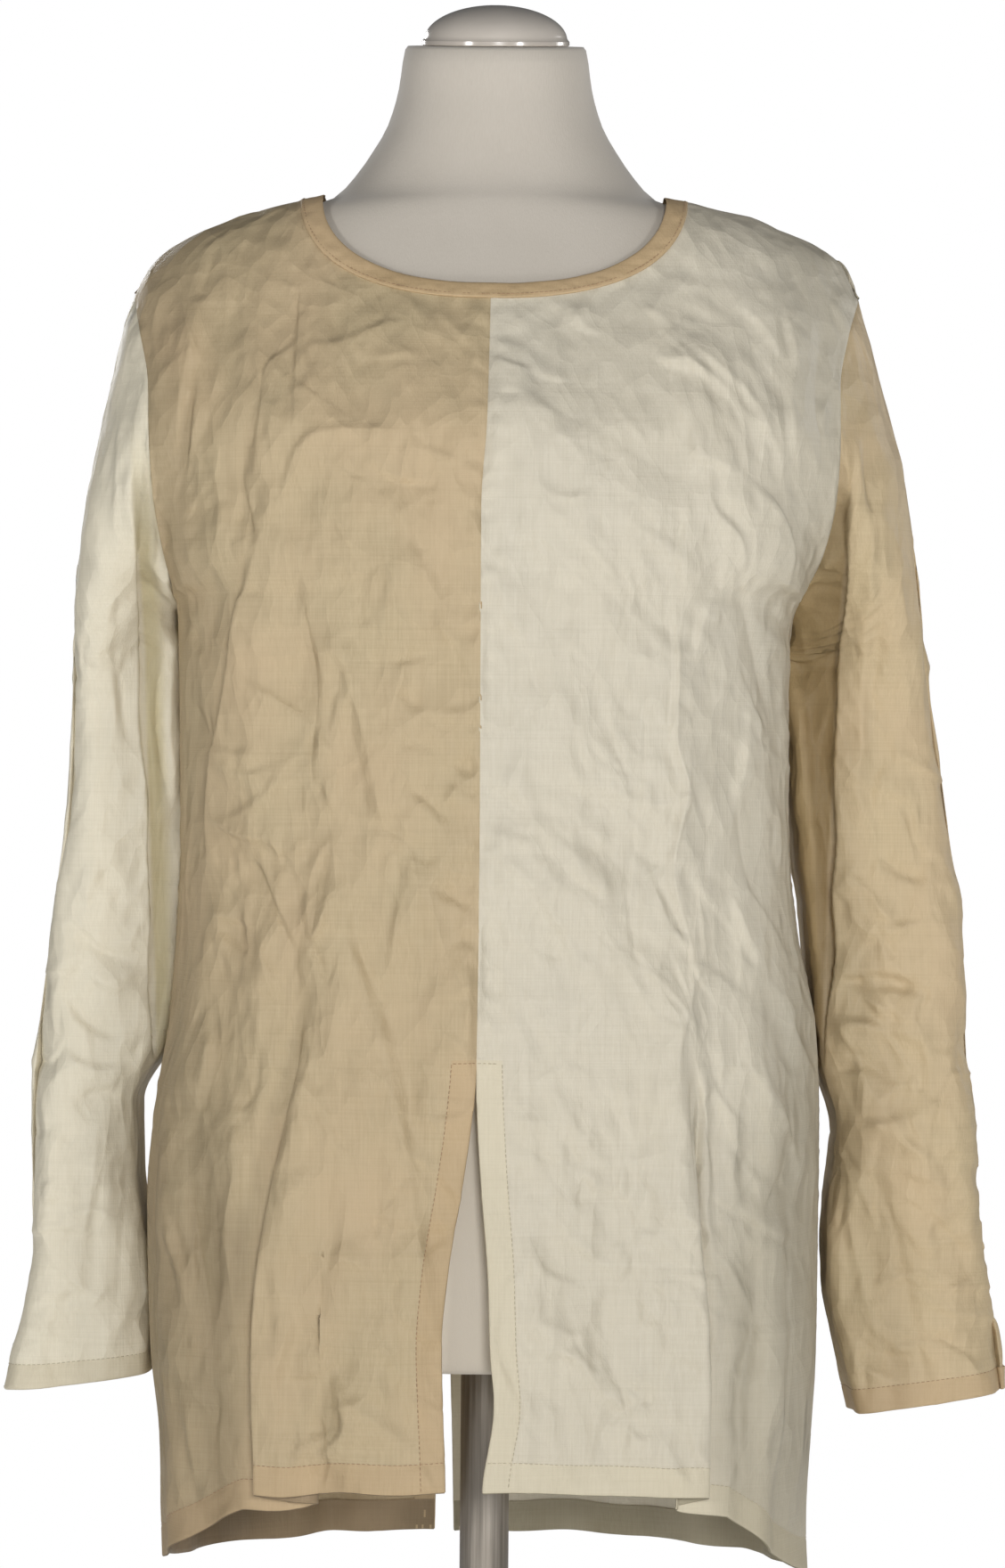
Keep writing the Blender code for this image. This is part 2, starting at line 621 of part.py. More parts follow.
def make_blouse():
    tan_cloth = cloth_material("tan voile", (0.52, 0.40, 0.24))
    cream_cloth = cloth_material("cream voile", (0.68, 0.62, 0.47))
    cloth = {
        "front_right": tan_cloth,
        "front_left": cream_cloth,
        "back_right": tan_cloth,
        "back_left": cream_cloth,
        "sleeve_right": cream_cloth,
        "sleeve_left": tan_cloth,
    }
    grids = blouse_grids()
    share_seam_normals(grids)
    make_binding(grids, tan_cloth)
    open_seam_gaps(grids)
    for name, (points, normals, _) in grids.items():
        inner = points - normals * CLOTH_WALL
        piece = wall_mesh(name, points, inner, closed=name.startswith("sleeve"))
        piece.data.materials.append(cloth[name])


def neck_loop(grids):
    """The panels' neck edges, their normals and the binding's inner edge, the whole way round
    from the centre front past the wearer's left."""
    edge, normals, inner = [], [], []
    left_half = [(LEFT, FRONT, True), (LEFT, BACK, False)]
    right_half = [(RIGHT, BACK, True), (RIGHT, FRONT, False)]
    for side, face, climbs in left_half + right_half:
        points, panel_normals, along = grids[face_name(face) + "_" + side_name(side)]
        columns = np.flatnonzero(along <= NECK_SHARE)
        order = columns[:-1] if climbs else columns[:0:-1]
        upper = neck_points(side, face, along[order] / NECK_SHARE, inner=True)
        edge.append(points[0, order])
        normals.append(panel_normals[0, order])
        inner.append(upper * [side, 1, 1] + [0, BODY_MIDDLE, 0])
    return np.concatenate(edge), np.concatenate(normals), np.concatenate(inner)


def make_binding(grids, cloth):
    """The neck binding, a band that carries the panels' faces on beyond the neckline."""
    edge, normals, upper = neck_loop(grids)
    around = unit(np.roll(edge, -1, axis=0) - np.roll(edge, 1, axis=0))
    into_neck = unit(np.cross(normals, around))
    into_neck *= np.sign((into_neck * (upper - edge)).sum(axis=1, keepdims=True))
    lower = edge + into_neck * BINDING_GAP
    proud = (BINDING_WALL - CLOTH_WALL) * normals
    outer = np.stack([lower + proud, upper + proud])
    inner = outer - BINDING_WALL * normals
    piece = wall_mesh("neck_binding", outer, inner, closed=True)
    piece.data.materials.append(cloth)


# ---------------------------------------------------------------- the dress form and its stand


def form_ring(section):
    turn = np.arange(FORM_POINTS_ROUND) * 2 * pi / FORM_POINTS_ROUND
    power = 2 / FORM_POWER
    out = np.sign(np.cos(turn)) * np.abs(np.cos(turn)) ** power * section.half_width
    depth = np.where(np.sin(turn) < 0, section.front, section.back)
    deep = np.sign(np.sin(turn)) * np.abs(np.sin(turn)) ** power * depth
    rise = deep * tan(radians(section.tilt))
    return np.stack([out, section.middle + deep, section.height + rise], axis=-1)


def make_form():
    cover = cloth_material("off-white jersey", (0.60, 0.57, 0.51), 0.85)
    torso = ring_loft("form_torso", [form_ring(section) for section in FORM_SECTIONS])
    torso.data.materials.append(cover)

    top = FORM_SECTIONS[-1]
    dome = [(CAP_RADIUS, 0), (CAP_RADIUS, CAP_LIP)]
    for step in range(1, 8):
        lift = step / 8 * pi / 2
        rise = CAP_LIP + (CAP_HEIGHT - CAP_LIP) * sin(lift)
        dome.append((CAP_RADIUS * 0.97 * cos(lift), rise))
    cap = turned("neck_cap", dome, FORM_POINTS_ROUND)
    cap.location = (0, top.middle, top.height + SEAM_GAP)
    cap.rotation_euler.x = radians(top.tilt)
    cap.data.materials.append(cloth_material("glossy cap", (0.55, 0.51, 0.46), 0.25))


def make_stand():
    steel = metal_material("brushed steel", (0.32, 0.29, 0.25), 0.35)
    bottom = FORM_SECTIONS[0].height - SEAM_GAP
    foot = BASE_THICKNESS + BOSS_HEIGHT + SEAM_GAP
    post = turned("stand_post", [(POST_RADIUS, foot), (POST_RADIUS, bottom)], 28)
    post.data.materials.append(steel)

    rim = BASE_THICKNESS / 3
    plate = [
        (BASE_RADIUS, 0),
        (BASE_RADIUS, BASE_THICKNESS - rim),
        (BASE_RADIUS - rim, BASE_THICKNESS),
        (BOSS_RADIUS, BASE_THICKNESS),
        (BOSS_RADIUS * 0.7, BASE_THICKNESS + BOSS_HEIGHT),
    ]
    base = turned("stand_base", plate, 56)
    base.data.materials.append(steel)


def main():
    for old in list(bpy.data.objects):
        bpy.data.objects.remove(old)
    make_blouse()
    make_form()
    make_stand()


main()
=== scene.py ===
from math import cos, pi, radians, sin, sqrt, tan

import bmesh
import bpy
import numpy as np
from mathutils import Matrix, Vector


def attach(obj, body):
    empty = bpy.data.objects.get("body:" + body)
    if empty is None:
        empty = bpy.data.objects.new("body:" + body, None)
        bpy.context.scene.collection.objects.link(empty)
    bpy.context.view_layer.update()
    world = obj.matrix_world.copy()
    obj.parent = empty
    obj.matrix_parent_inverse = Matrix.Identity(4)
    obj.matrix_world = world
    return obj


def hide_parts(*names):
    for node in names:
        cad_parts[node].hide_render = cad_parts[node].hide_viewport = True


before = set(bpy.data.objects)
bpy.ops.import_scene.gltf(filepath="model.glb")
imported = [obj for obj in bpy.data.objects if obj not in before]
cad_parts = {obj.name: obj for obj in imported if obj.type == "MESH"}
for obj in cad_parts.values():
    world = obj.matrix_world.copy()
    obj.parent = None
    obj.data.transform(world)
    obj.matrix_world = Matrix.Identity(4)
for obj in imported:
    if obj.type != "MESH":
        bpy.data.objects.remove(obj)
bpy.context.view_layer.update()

right, left = -1, 1  # the wearer's sides, on x
front, back = -1, 1  # on y


# a table of named columns, a row for each section
def table(names, rows):
    return dict(zip(names.split(), np.array(rows, dtype=float).T))


bodySections = table("height right left front back", [
    (0.660, 0.1780, 0.1815, 0.141, 0.133),
    (0.700, 0.1800, 0.1800, 0.140, 0.132),
    (0.750, 0.1825, 0.1825, 0.139, 0.131),
    (0.800, 0.1880, 0.1850, 0.138, 0.130),
    (0.880, 0.1900, 0.1858, 0.137, 0.128),
    (0.930, 0.1860, 0.1860, 0.136, 0.127),
    (0.980, 0.1790, 0.1830, 0.135, 0.122),
    (1.030, 0.1755, 0.1735, 0.134, 0.117),
    (1.080, 0.1735, 0.1680, 0.134, 0.114),
    (1.150, 0.1735, 0.1655, 0.134, 0.112),
    (1.190, 0.1740, 0.1675, 0.134, 0.111),
    (1.213, 0.1755, 0.1710, 0.134, 0.111),
    (1.222, 0.1830, 0.1810, 0.134, 0.111),
    (1.240, 0.1990, 0.1990, 0.134, 0.111),
    (1.270, 0.2110, 0.2130, 0.133, 0.110),
    (1.300, 0.2130, 0.2150, 0.131, 0.110),
    (1.330, 0.2125, 0.2150, 0.121, 0.109),
    (1.360, 0.2090, 0.2120, 0.107, 0.107),
    (1.380, 0.2040, 0.2075, 0.098, 0.105),
    (1.390, 0.1980, 0.2020, 0.093, 0.102),
    (1.403, 0.1880, 0.1960, 0.088, 0.099),
    (1.4155, 0.1710, 0.1800, 0.083, 0.094),
    (1.424, 0.1520, 0.1590, 0.080, 0.090),
    (1.430, 0.1370, 0.1400, 0.078, 0.086),
    (1.434, 0.1220, 0.1240, 0.077, 0.084),
    (1.4367, 0.1060, 0.1060, 0.076, 0.083),
    (1.4410, 0.0945, 0.0945, 0.073, 0.079),
    (1.4480, 0.0850, 0.0850, 0.069, 0.074),
])

# how far out the armhole's edge lies
armholeEdge = table("height right left", [
    (1.213, 0.1755, 0.1710),
    (1.240, 0.1815, 0.1830),
    (1.270, 0.1860, 0.1890),
    (1.300, 0.1880, 0.1905),
    (1.330, 0.1890, 0.1905),
    (1.360, 0.1950, 0.1960),
    (1.385, 0.2010, 0.2045),
])

# hem heights from the centre line (0) to the side seam (1)
hemLine = table("along front back", [
    (0.00, 0.7350, 0.6715),
    (0.35, 0.7310, 0.6712),
    (0.50, 0.7210, 0.6706),
    (0.70, 0.6980, 0.6705),
    (0.85, 0.6845, 0.6720),
    (1.00, 0.6775, 0.6775),
])
leftHemDrop = 0.004  # how much lower the left half hangs at its side

# where the centre edges run: one seam above the slit and the vent, two edges below them
centreEdges = table("height frontRight frontLeft backRight backLeft", [
    (0.670, -0.0205, -0.0010, -0.0300, -0.0180),
    (0.735, -0.0208, -0.0004, -0.0290, -0.0195),
    (0.780, -0.0225, 0.0055, -0.0275, -0.0205),
    (0.810, -0.0235, 0.0030, -0.0255, -0.0200),
    (0.850, -0.0205, 0.0015, -0.0210, -0.0170),
    (0.900, -0.0125, -0.0025, -0.0150, -0.0135),
    (0.930, -0.0085, -0.0045, -0.0120, -0.0120),
    (0.955, -0.0062, -0.0056, -0.0107, -0.0105),
    (0.965, -0.0057, -0.0057, -0.0104, -0.0104),
    (1.080, -0.0050, -0.0050, -0.0080, -0.0080),
    (1.260, -0.0055, -0.0055, -0.0040, -0.0040),
    (1.310, -0.0026, -0.0026, -0.0020, -0.0020),
    (1.440, -0.0005, -0.0005, 0.0000, 0.0000),
])

# the largest folds, hanging from the bust: top and hem place, half width, start and full height,
# depth and overlap
hangingFolds = {
    "frontRight": [
        (0.36, 0.40, 0.110, 1.060, 0.800, 0.0100, 0.0240),
        (0.70, 0.72, 0.120, 1.120, 0.820, 0.0070, 0.0000),
        (0.16, 0.16, 0.120, 0.980, 0.780, 0.0040, 0.0000),
    ],
    "frontLeft": [
        (0.40, 0.42, 0.100, 1.020, 0.780, 0.0080, 0.0170),
        (0.60, 0.62, 0.080, 1.100, 0.820, 0.0060, 0.0000),
        (0.20, 0.18, 0.120, 1.000, 0.780, -0.0040, 0.0000),
    ],
    "backRight": [
        (0.28, 0.30, 0.130, 1.180, 0.850, 0.0090, 0.0000),
        (0.62, 0.66, 0.140, 1.200, 0.860, 0.0080, 0.0000),
    ],
    "backLeft": [
        (0.24, 0.22, 0.120, 1.160, 0.840, 0.0080, 0.0000),
        (0.56, 0.60, 0.150, 1.220, 0.860, 0.0100, 0.0000),
    ],
}

# level rings of the sleeves: centre, half axes, turn of the long axis towards the front, climb
sleeveRings = {
    right: table("height out back long thick turn rise", [
        (0.775, 0.2285, 0.020, 0.0470, 0.0250, 35, -0.12),
        (0.830, 0.2205, 0.026, 0.0480, 0.0240, 50, -0.03),
        (0.890, 0.2258, 0.026, 0.0500, 0.0210, 62, 0.00),
        (0.930, 0.2268, 0.028, 0.0500, 0.0205, 62, 0.00),
        (0.970, 0.2150, 0.032, 0.0560, 0.0250, 54, 0.00),
        (1.030, 0.2080, 0.030, 0.0600, 0.0240, 57, 0.00),
        (1.100, 0.2015, 0.026, 0.0640, 0.0215, 62, 0.00),
        (1.185, 0.1985, 0.022, 0.0660, 0.0200, 63, 0.00),
    ]),
    left: table("height out back long thick turn rise", [
        (0.768, 0.2475, 0.010, 0.0455, 0.0250, 24, 0.17),
        (0.800, 0.2420, 0.011, 0.0470, 0.0250, 18, 0.12),
        (0.840, 0.2345, 0.012, 0.0480, 0.0250, 20, 0.06),
        (0.880, 0.2325, 0.013, 0.0495, 0.0255, 36, 0.03),
        (0.920, 0.2325, 0.014, 0.0520, 0.0255, 52, 0.00),
        (0.960, 0.2260, 0.016, 0.0545, 0.0270, 46, 0.00),
        (1.030, 0.2205, 0.018, 0.0590, 0.0275, 48, 0.00),
        (1.100, 0.2120, 0.020, 0.0620, 0.0270, 52, 0.00),
        (1.185, 0.2020, 0.020, 0.0660, 0.0240, 58, 0.00),
    ]),
}

neck = {
    "halfWidth": 0.105, "dropFront": 0.0615, "dropBack": 0.019, "power": 2.4, "share": 0.5,
    "bindingOut": 0.0088, "riseSide": 0.0030, "riseCentre": 0.0068,
}
armhole = {"height": 1.299, "halfHeight": 0.086, "halfFront": 0.071, "halfBack": 0.077}
underarm = armhole["height"] - armhole["halfHeight"]
body = {"middle": 0.005, "power": 2.35, "centreReach": 0.45}
slitTop = 0.965


# slopes at a table's rows that never carry the curve past its rows
def tableSlopes(keys, values):
    steps = np.diff(values) / np.diff(keys)
    before, after = steps[:-1], steps[1:]
    total = np.where(before * after > 0, before + after, 1)
    inner = np.where(before * after > 0, 2 * before * after / total, 0)
    return np.concatenate([steps[:1], inner, steps[-1:]])


def smoothRead(rows, name, at, key="height"):
    keys, values = rows[key], rows[name]
    slopes = tableSlopes(keys, values)
    at = np.clip(np.asarray(at, dtype=float), keys[0], keys[-1])
    first = np.clip(np.searchsorted(keys, at, side="right") - 1, 0, len(keys) - 2)
    span = keys[first + 1] - keys[first]
    part = (at - keys[first]) / span
    start = (1 + 2 * part) * (1 - part) ** 2 * values[first]
    startSlope = part * (1 - part) ** 2 * span * slopes[first]
    end = part**2 * (3 - 2 * part) * values[first + 1]
    endSlope = part**2 * (part - 1) * span * slopes[first + 1]
    return start + startSlope + end + endSlope


def ease(value):
    value = np.clip(value, 0, 1)
    return value * value * (3 - 2 * value)


def unit(vectors):
    return vectors / np.maximum(np.linalg.norm(vectors, axis=-1, keepdims=True), 1e-9)


def sideName(side):
    return "right" if side == right else "left"


def faceName(face):
    return "front" if face == front else "back"


def panelName(side, face):
    return faceName(face) + sideName(side).capitalize()


# how far in front of or behind the side seams the cloth lies
def depthAt(side, face, out, height):
    depth = smoothRead(bodySections, faceName(face), height)
    share = np.clip(out / smoothRead(bodySections, sideName(side), height), 0, 1)
    return face * depth * (1 - share ** body["power"]) ** (1 / body["power"])


def armholeOut(side, height):
    return smoothRead(armholeEdge, sideName(side), height)


def shoulderHeight(side, out):
    heights = np.linspace(1.375, 1.445, 1200)
    return np.interp(-out, -smoothRead(bodySections, sideName(side), heights), heights)


# the neckline, or the binding's inner edge, from the centre (0) to the neck's side (a right angle)
def neckPoint(side, face, turn, inner=False):
    drop = neck["dropFront"] if face == front else neck["dropBack"]
    half = neck["halfWidth"]
    top = shoulderHeight(side, half)
    if inner:
        half -= neck["bindingOut"]
        top += neck["riseSide"]
        drop -= neck["riseCentre"] - neck["riseSide"]
    out = half * np.abs(np.sin(turn)) ** (2 / neck["power"])
    height = top - drop * np.abs(np.cos(turn)) ** (2 / neck["power"])
    return np.stack([out, depthAt(side, face, out, height), height], axis=-1)


def neckPoints(side, face, parts, inner=False):
    turns = np.linspace(0, pi / 2, 1500)
    curve = neckPoint(side, face, turns, inner)
    length = np.concatenate([[0], np.cumsum(np.linalg.norm(np.diff(curve, axis=0), axis=1))])
    return neckPoint(side, face, np.interp(parts * length[-1], length, turns), inner)


# a panel's top edge: the neckline, then the shoulder line
def panelTop(side, face, along):
    onNeck = neckPoints(side, face, np.clip(along / neck["share"], 0, 1))
    end = armholeOut(side, armhole["height"] + armhole["halfHeight"])
    part = np.clip((along - neck["share"]) / (1 - neck["share"]), 0, 1)
    out = neck["halfWidth"] + (end - neck["halfWidth"]) * part
    shoulder = np.stack([out, 0 * out, shoulderHeight(side, out)], axis=-1)
    return np.where((along < neck["share"] - 1e-6)[:, None], onNeck, shoulder)


# from the neckline and shoulder to the underarm
def panelAbove(side, face, along, down):
    down = down[:, None]
    topOut, topY, topHeight = panelTop(side, face, along).T
    along = along[None, :]
    edgeHeight = armhole["height"] + armhole["halfHeight"] * np.cos(pi * down)
    edgeOut = armholeOut(side, edgeHeight)
    reach = armhole["halfFront"] if face == front else armhole["halfBack"]
    edgeY = face * reach * np.sin(pi * down)
    atShoulder = ease((along - neck["share"] * 0.5) / (neck["share"] * 0.6))
    fall = (1 - atShoulder) * down + atShoulder * (1 - np.cos(down * pi / 2))
    atEdge = along**4
    fall = (1 - atEdge) * fall + atEdge * (1 - np.cos(pi * down)) / 2
    height = topHeight + (underarm - topHeight) * fall
    topShare = topOut / edgeOut[0]
    share = topShare + (np.sin(along * pi / 2) - topShare) * ease(down)
    out = share * edgeOut
    y = depthAt(side, face, out, height)
    y = y + (edgeY - depthAt(side, face, edgeOut, edgeHeight)) * atEdge
    y[0] = topY
    return np.stack([out, y, height], axis=-1)


# from the underarm to the hem
def panelBelow(side, face, along, down):
    down = down[:, None]
    hem = smoothRead(hemLine, faceName(face), along, key="along")[None, :]
    if side == left:
        hem = hem - leftHemDrop * ease((along[None, :] - 0.35) / 0.35)
    height = underarm + (hem - underarm) * down
    out = smoothRead(bodySections, sideName(side), height) * np.sin(along * pi / 2)[None, :]
    return np.stack([out, depthAt(side, face, out, height), height], axis=-1)


def hangFolds(name, points, along):
    sideways = np.gradient(points, axis=1)
    sideways[..., 2] = 0
    sideways = unit(sideways)
    outward = np.stack([sideways[..., 1], -sideways[..., 0], sideways[..., 2]], axis=-1)
    inside = (outward * (points - [0, body["middle"], 0]))[..., :2].sum(axis=-1) < 0
    outward[inside] *= -1
    moved = points.copy()
    height = points[..., 2]
    for topAlong, hemAlong, halfWidth, start, full, depth, overlap in hangingFolds[name]:
        grown = ease((start - height) / (start - full))
        low = np.clip((start - height) / (start - hemLine["front"][0]), 0, 1)
        centre = topAlong + (hemAlong - topAlong) * low
        across = np.clip((along[None, :] - centre) / halfWidth, -1, 1)
        shape = (-np.sin(across * pi) if overlap else np.cos(across * pi / 2) ** 2) * grown
        moved += (depth * shape)[..., None] * outward + (overlap * shape)[..., None] * sideways
    return moved


# the outer face of a panel, as rows by columns of x, y, z
def panelSurface(side, face, along, downAbove, downBelow):
    name = panelName(side, face)
    above = panelAbove(side, face, along, downAbove)
    below = panelBelow(side, face, along, downBelow)
    points = np.concatenate([above, below[1:]])
    points[..., 0] *= side
    points[..., 1] += body["middle"]
    centre = smoothRead(centreEdges, name, points[..., 2])
    points[..., 0] += centre * (1 - ease(along / body["centreReach"]))[None, :]
    return hangFolds(name, points, along)


def armholeRing(side, count):
    turn = np.arange(count) * 2 * pi / count
    height = armhole["height"] + armhole["halfHeight"] * np.cos(turn)
    reach = np.where(np.sin(turn) > 0, armhole["halfFront"], armhole["halfBack"])
    out = armholeOut(side, height)
    return np.stack([side * out, body["middle"] - reach * np.sin(turn), height], axis=-1)


def sleeveRing(side, height, count):
    turn = np.arange(count) * 2 * pi / count
    rings = sleeveRings[side]
    read = {name: smoothRead(rings, name, height) for name in rings}
    lean = radians(read["turn"])
    along = read["long"] * np.cos(turn - lean)
    across = read["thick"] * np.sin(turn - lean)
    out = read["out"] + along * cos(lean) - across * sin(lean)
    forward = along * sin(lean) + across * cos(lean)
    level = height + read["rise"] * (out - read["out"])
    return np.stack([side * out, read["back"] - forward, level], axis=-1)


cuffBand = 0.0125


# the sleeve from the armhole: a head that turns down, then level rings
def sleeveSurface(side, headRows, rows, count):
    rings = sleeveRings[side]
    hole = armholeRing(side, count)
    first = sleeveRing(side, rings["height"][-1], count)
    surface = []
    for row in range(headRows):
        part = row / headRows
        ring = hole + (first - hole) * part
        ring[:, 0] += side * 0.007 * sin(pi * part)
        surface.append(ring)
    ends = rings["height"][-1], rings["height"][0]
    band = ends[1] + cuffBand
    plain = np.linspace(ends[0], band, rows - headRows - 5)
    for height in np.concatenate([plain, np.linspace(band, ends[1], 7)[1:]]):
        surface.append(sleeveRing(side, height, count))
    return np.array(surface)


# sums of seeded waves, about one high, as smooth noise over x and z in mm
def waveField(x, z, size, seed, stretch=1.0, waves=14):
    rng = np.random.default_rng(seed)
    total = np.zeros_like(x)
    for _ in range(waves):
        angle, length = rng.uniform(0, 2 * pi), size * rng.uniform(0.7, 1.6)
        place = (cos(angle) * x + sin(angle) * z / stretch) / length
        total += np.sin(2 * pi * place + rng.uniform(0, 2 * pi))
    return total / sqrt(waves / 2)


# flat facets that meet in straight ridges and valleys, as in pressed and crumpled cotton, about one high
def facetField(x, z, size, seed, lean, spread, sets=6):
    rng = np.random.default_rng(seed)
    total = np.zeros_like(x)
    for number in range(sets):
        angle = radians(rng.normal(lean, spread))
        place = (x * cos(angle) - z * sin(angle)) / (size * rng.uniform(0.6, 1.7)) + rng.uniform(0, 1)
        place += 0.22 * waveField(x, z, size * 4, seed + 10 + number)
        tent = 4 * np.abs(place - np.floor(place + 0.5)) - 1
        total += tent * ease(0.25 + 0.8 * waveField(x, z, size * 2.2, seed + 30 + number, stretch=1.8))
    return total / sqrt(sets / 3)


# crumpled cotton in mm, its creases leaning by some degrees from the upright
def crumpleField(x, z, seed, lean):
    wide = waveField(x, z, 110, seed, stretch=2.0)
    folds = facetField(x, z, 58, seed + 100, lean, 16)
    small = facetField(x, z, 26, seed + 200, lean, 28)
    fine = facetField(x, z, 12, seed + 300, lean, 40)
    uneven = ease(0.5 + 0.45 * waveField(x, z, 130, seed + 4))
    sharp = crumple["small"] * small + crumple["fine"] * fine
    return crumple["wide"] * wide + crumple["folds"] * folds + uneven * sharp


crumple = {"wide": 0.9, "folds": 1.5, "small": 0.5, "fine": 0.18}  # heights in mm
creaseScale = {"main": 1.8, "small": 1.45, "frontLeft": 0.9, "sleeveRight": 1.1, "sleeveLeft": 1.2}
creaseLean = {
    "frontRight": 14, "frontLeft": -26, "backRight": -6, "backLeft": 8, "sleeveRight": 12, "sleeveLeft": -14,
}


def curveThrough(line, steps=5):
    line = np.array(line, dtype=float)
    if len(line) < 3:
        return line
    ends = np.concatenate([[2 * line[0] - line[1]], line, [2 * line[-1] - line[-2]]])
    part = (np.arange(steps) / steps)[:, None]
    spans = []
    for a, b, c, d in zip(ends, ends[1:], ends[2:], ends[3:]):
        spans.append(0.5 * (2 * b + (c - a) * part + (2 * a - 5 * b + 4 * c - d) * part**2
                            + (3 * b - a - 3 * c + d) * part**3))
    return np.concatenate([*spans, line[-1:]])


# what one crease adds: its height, a width to its left and right, and its line of x, z, all in mm
def addCrease(heights, x, z, tall, leftWidth, rightWidth, line):
    curve = curveThrough(line)
    reach = 4.5 * max(leftWidth, rightWidth)
    low, high = curve.min(axis=0) - reach, curve.max(axis=0) + reach
    near = (x > low[0]) & (x < high[0]) & (z > low[1]) & (z < high[1])
    if not near.any():
        return
    px, pz = x[near], z[near]
    best, signed, place = np.full(px.shape, 1e9), np.zeros_like(px), np.zeros_like(px)
    for number, (a, b) in enumerate(zip(curve, curve[1:])):
        run = b - a
        part = np.clip(((px - a[0]) * run[0] + (pz - a[1]) * run[1]) / (run @ run + 1e-9), 0, 1)
        away = np.hypot(px - a[0] - part * run[0], pz - a[1] - part * run[1])
        closer = away < best
        best = np.where(closer, away, best)
        signed = np.where(closer, run[0] * (pz - a[1]) - run[1] * (px - a[0]), signed)
        place = np.where(closer, (number + part) / (len(curve) - 1), place)
    width = np.where(signed > 0, rightWidth, leftWidth)
    taper = np.minimum(1, place / 0.3) * np.minimum(1, (1 - place) / 0.35)
    crest = np.sqrt(best**2 + 0.09) - 0.3  # a fold this sharp shows as a fine line
    flat = np.maximum(0, 1 - crest / (1.7 * width))
    heights[near] += tall * taper * (0.55 * np.exp(-crest / width) + 0.45 * flat)


# seeded small creases over a stretch of a piece, steep on one side and gentle on the other
def scatterCreases(heights, x, z, seed, zone):
    rng = np.random.default_rng(seed)
    for _ in range(zone["count"]):
        angle = radians(rng.normal(zone["angle"], zone["spread"]))
        run = rng.uniform(*zone["length"]) * np.array([cos(angle), sin(angle)])
        start = np.array([rng.uniform(*zone["x"]), rng.uniform(*zone["z"])])
        bend = rng.uniform(-0.25, 0.25) * np.array([-run[1], run[0]])
        tall = rng.uniform(*zone["tall"]) * rng.choice([1, 1, -1]) * creaseScale["small"]
        widths = rng.permutation([rng.uniform(1.0, 2.2), rng.uniform(*zone["width"])])
        addCrease(heights, x, z, tall, *widths, [start, start + run / 2 + bend, start + run])


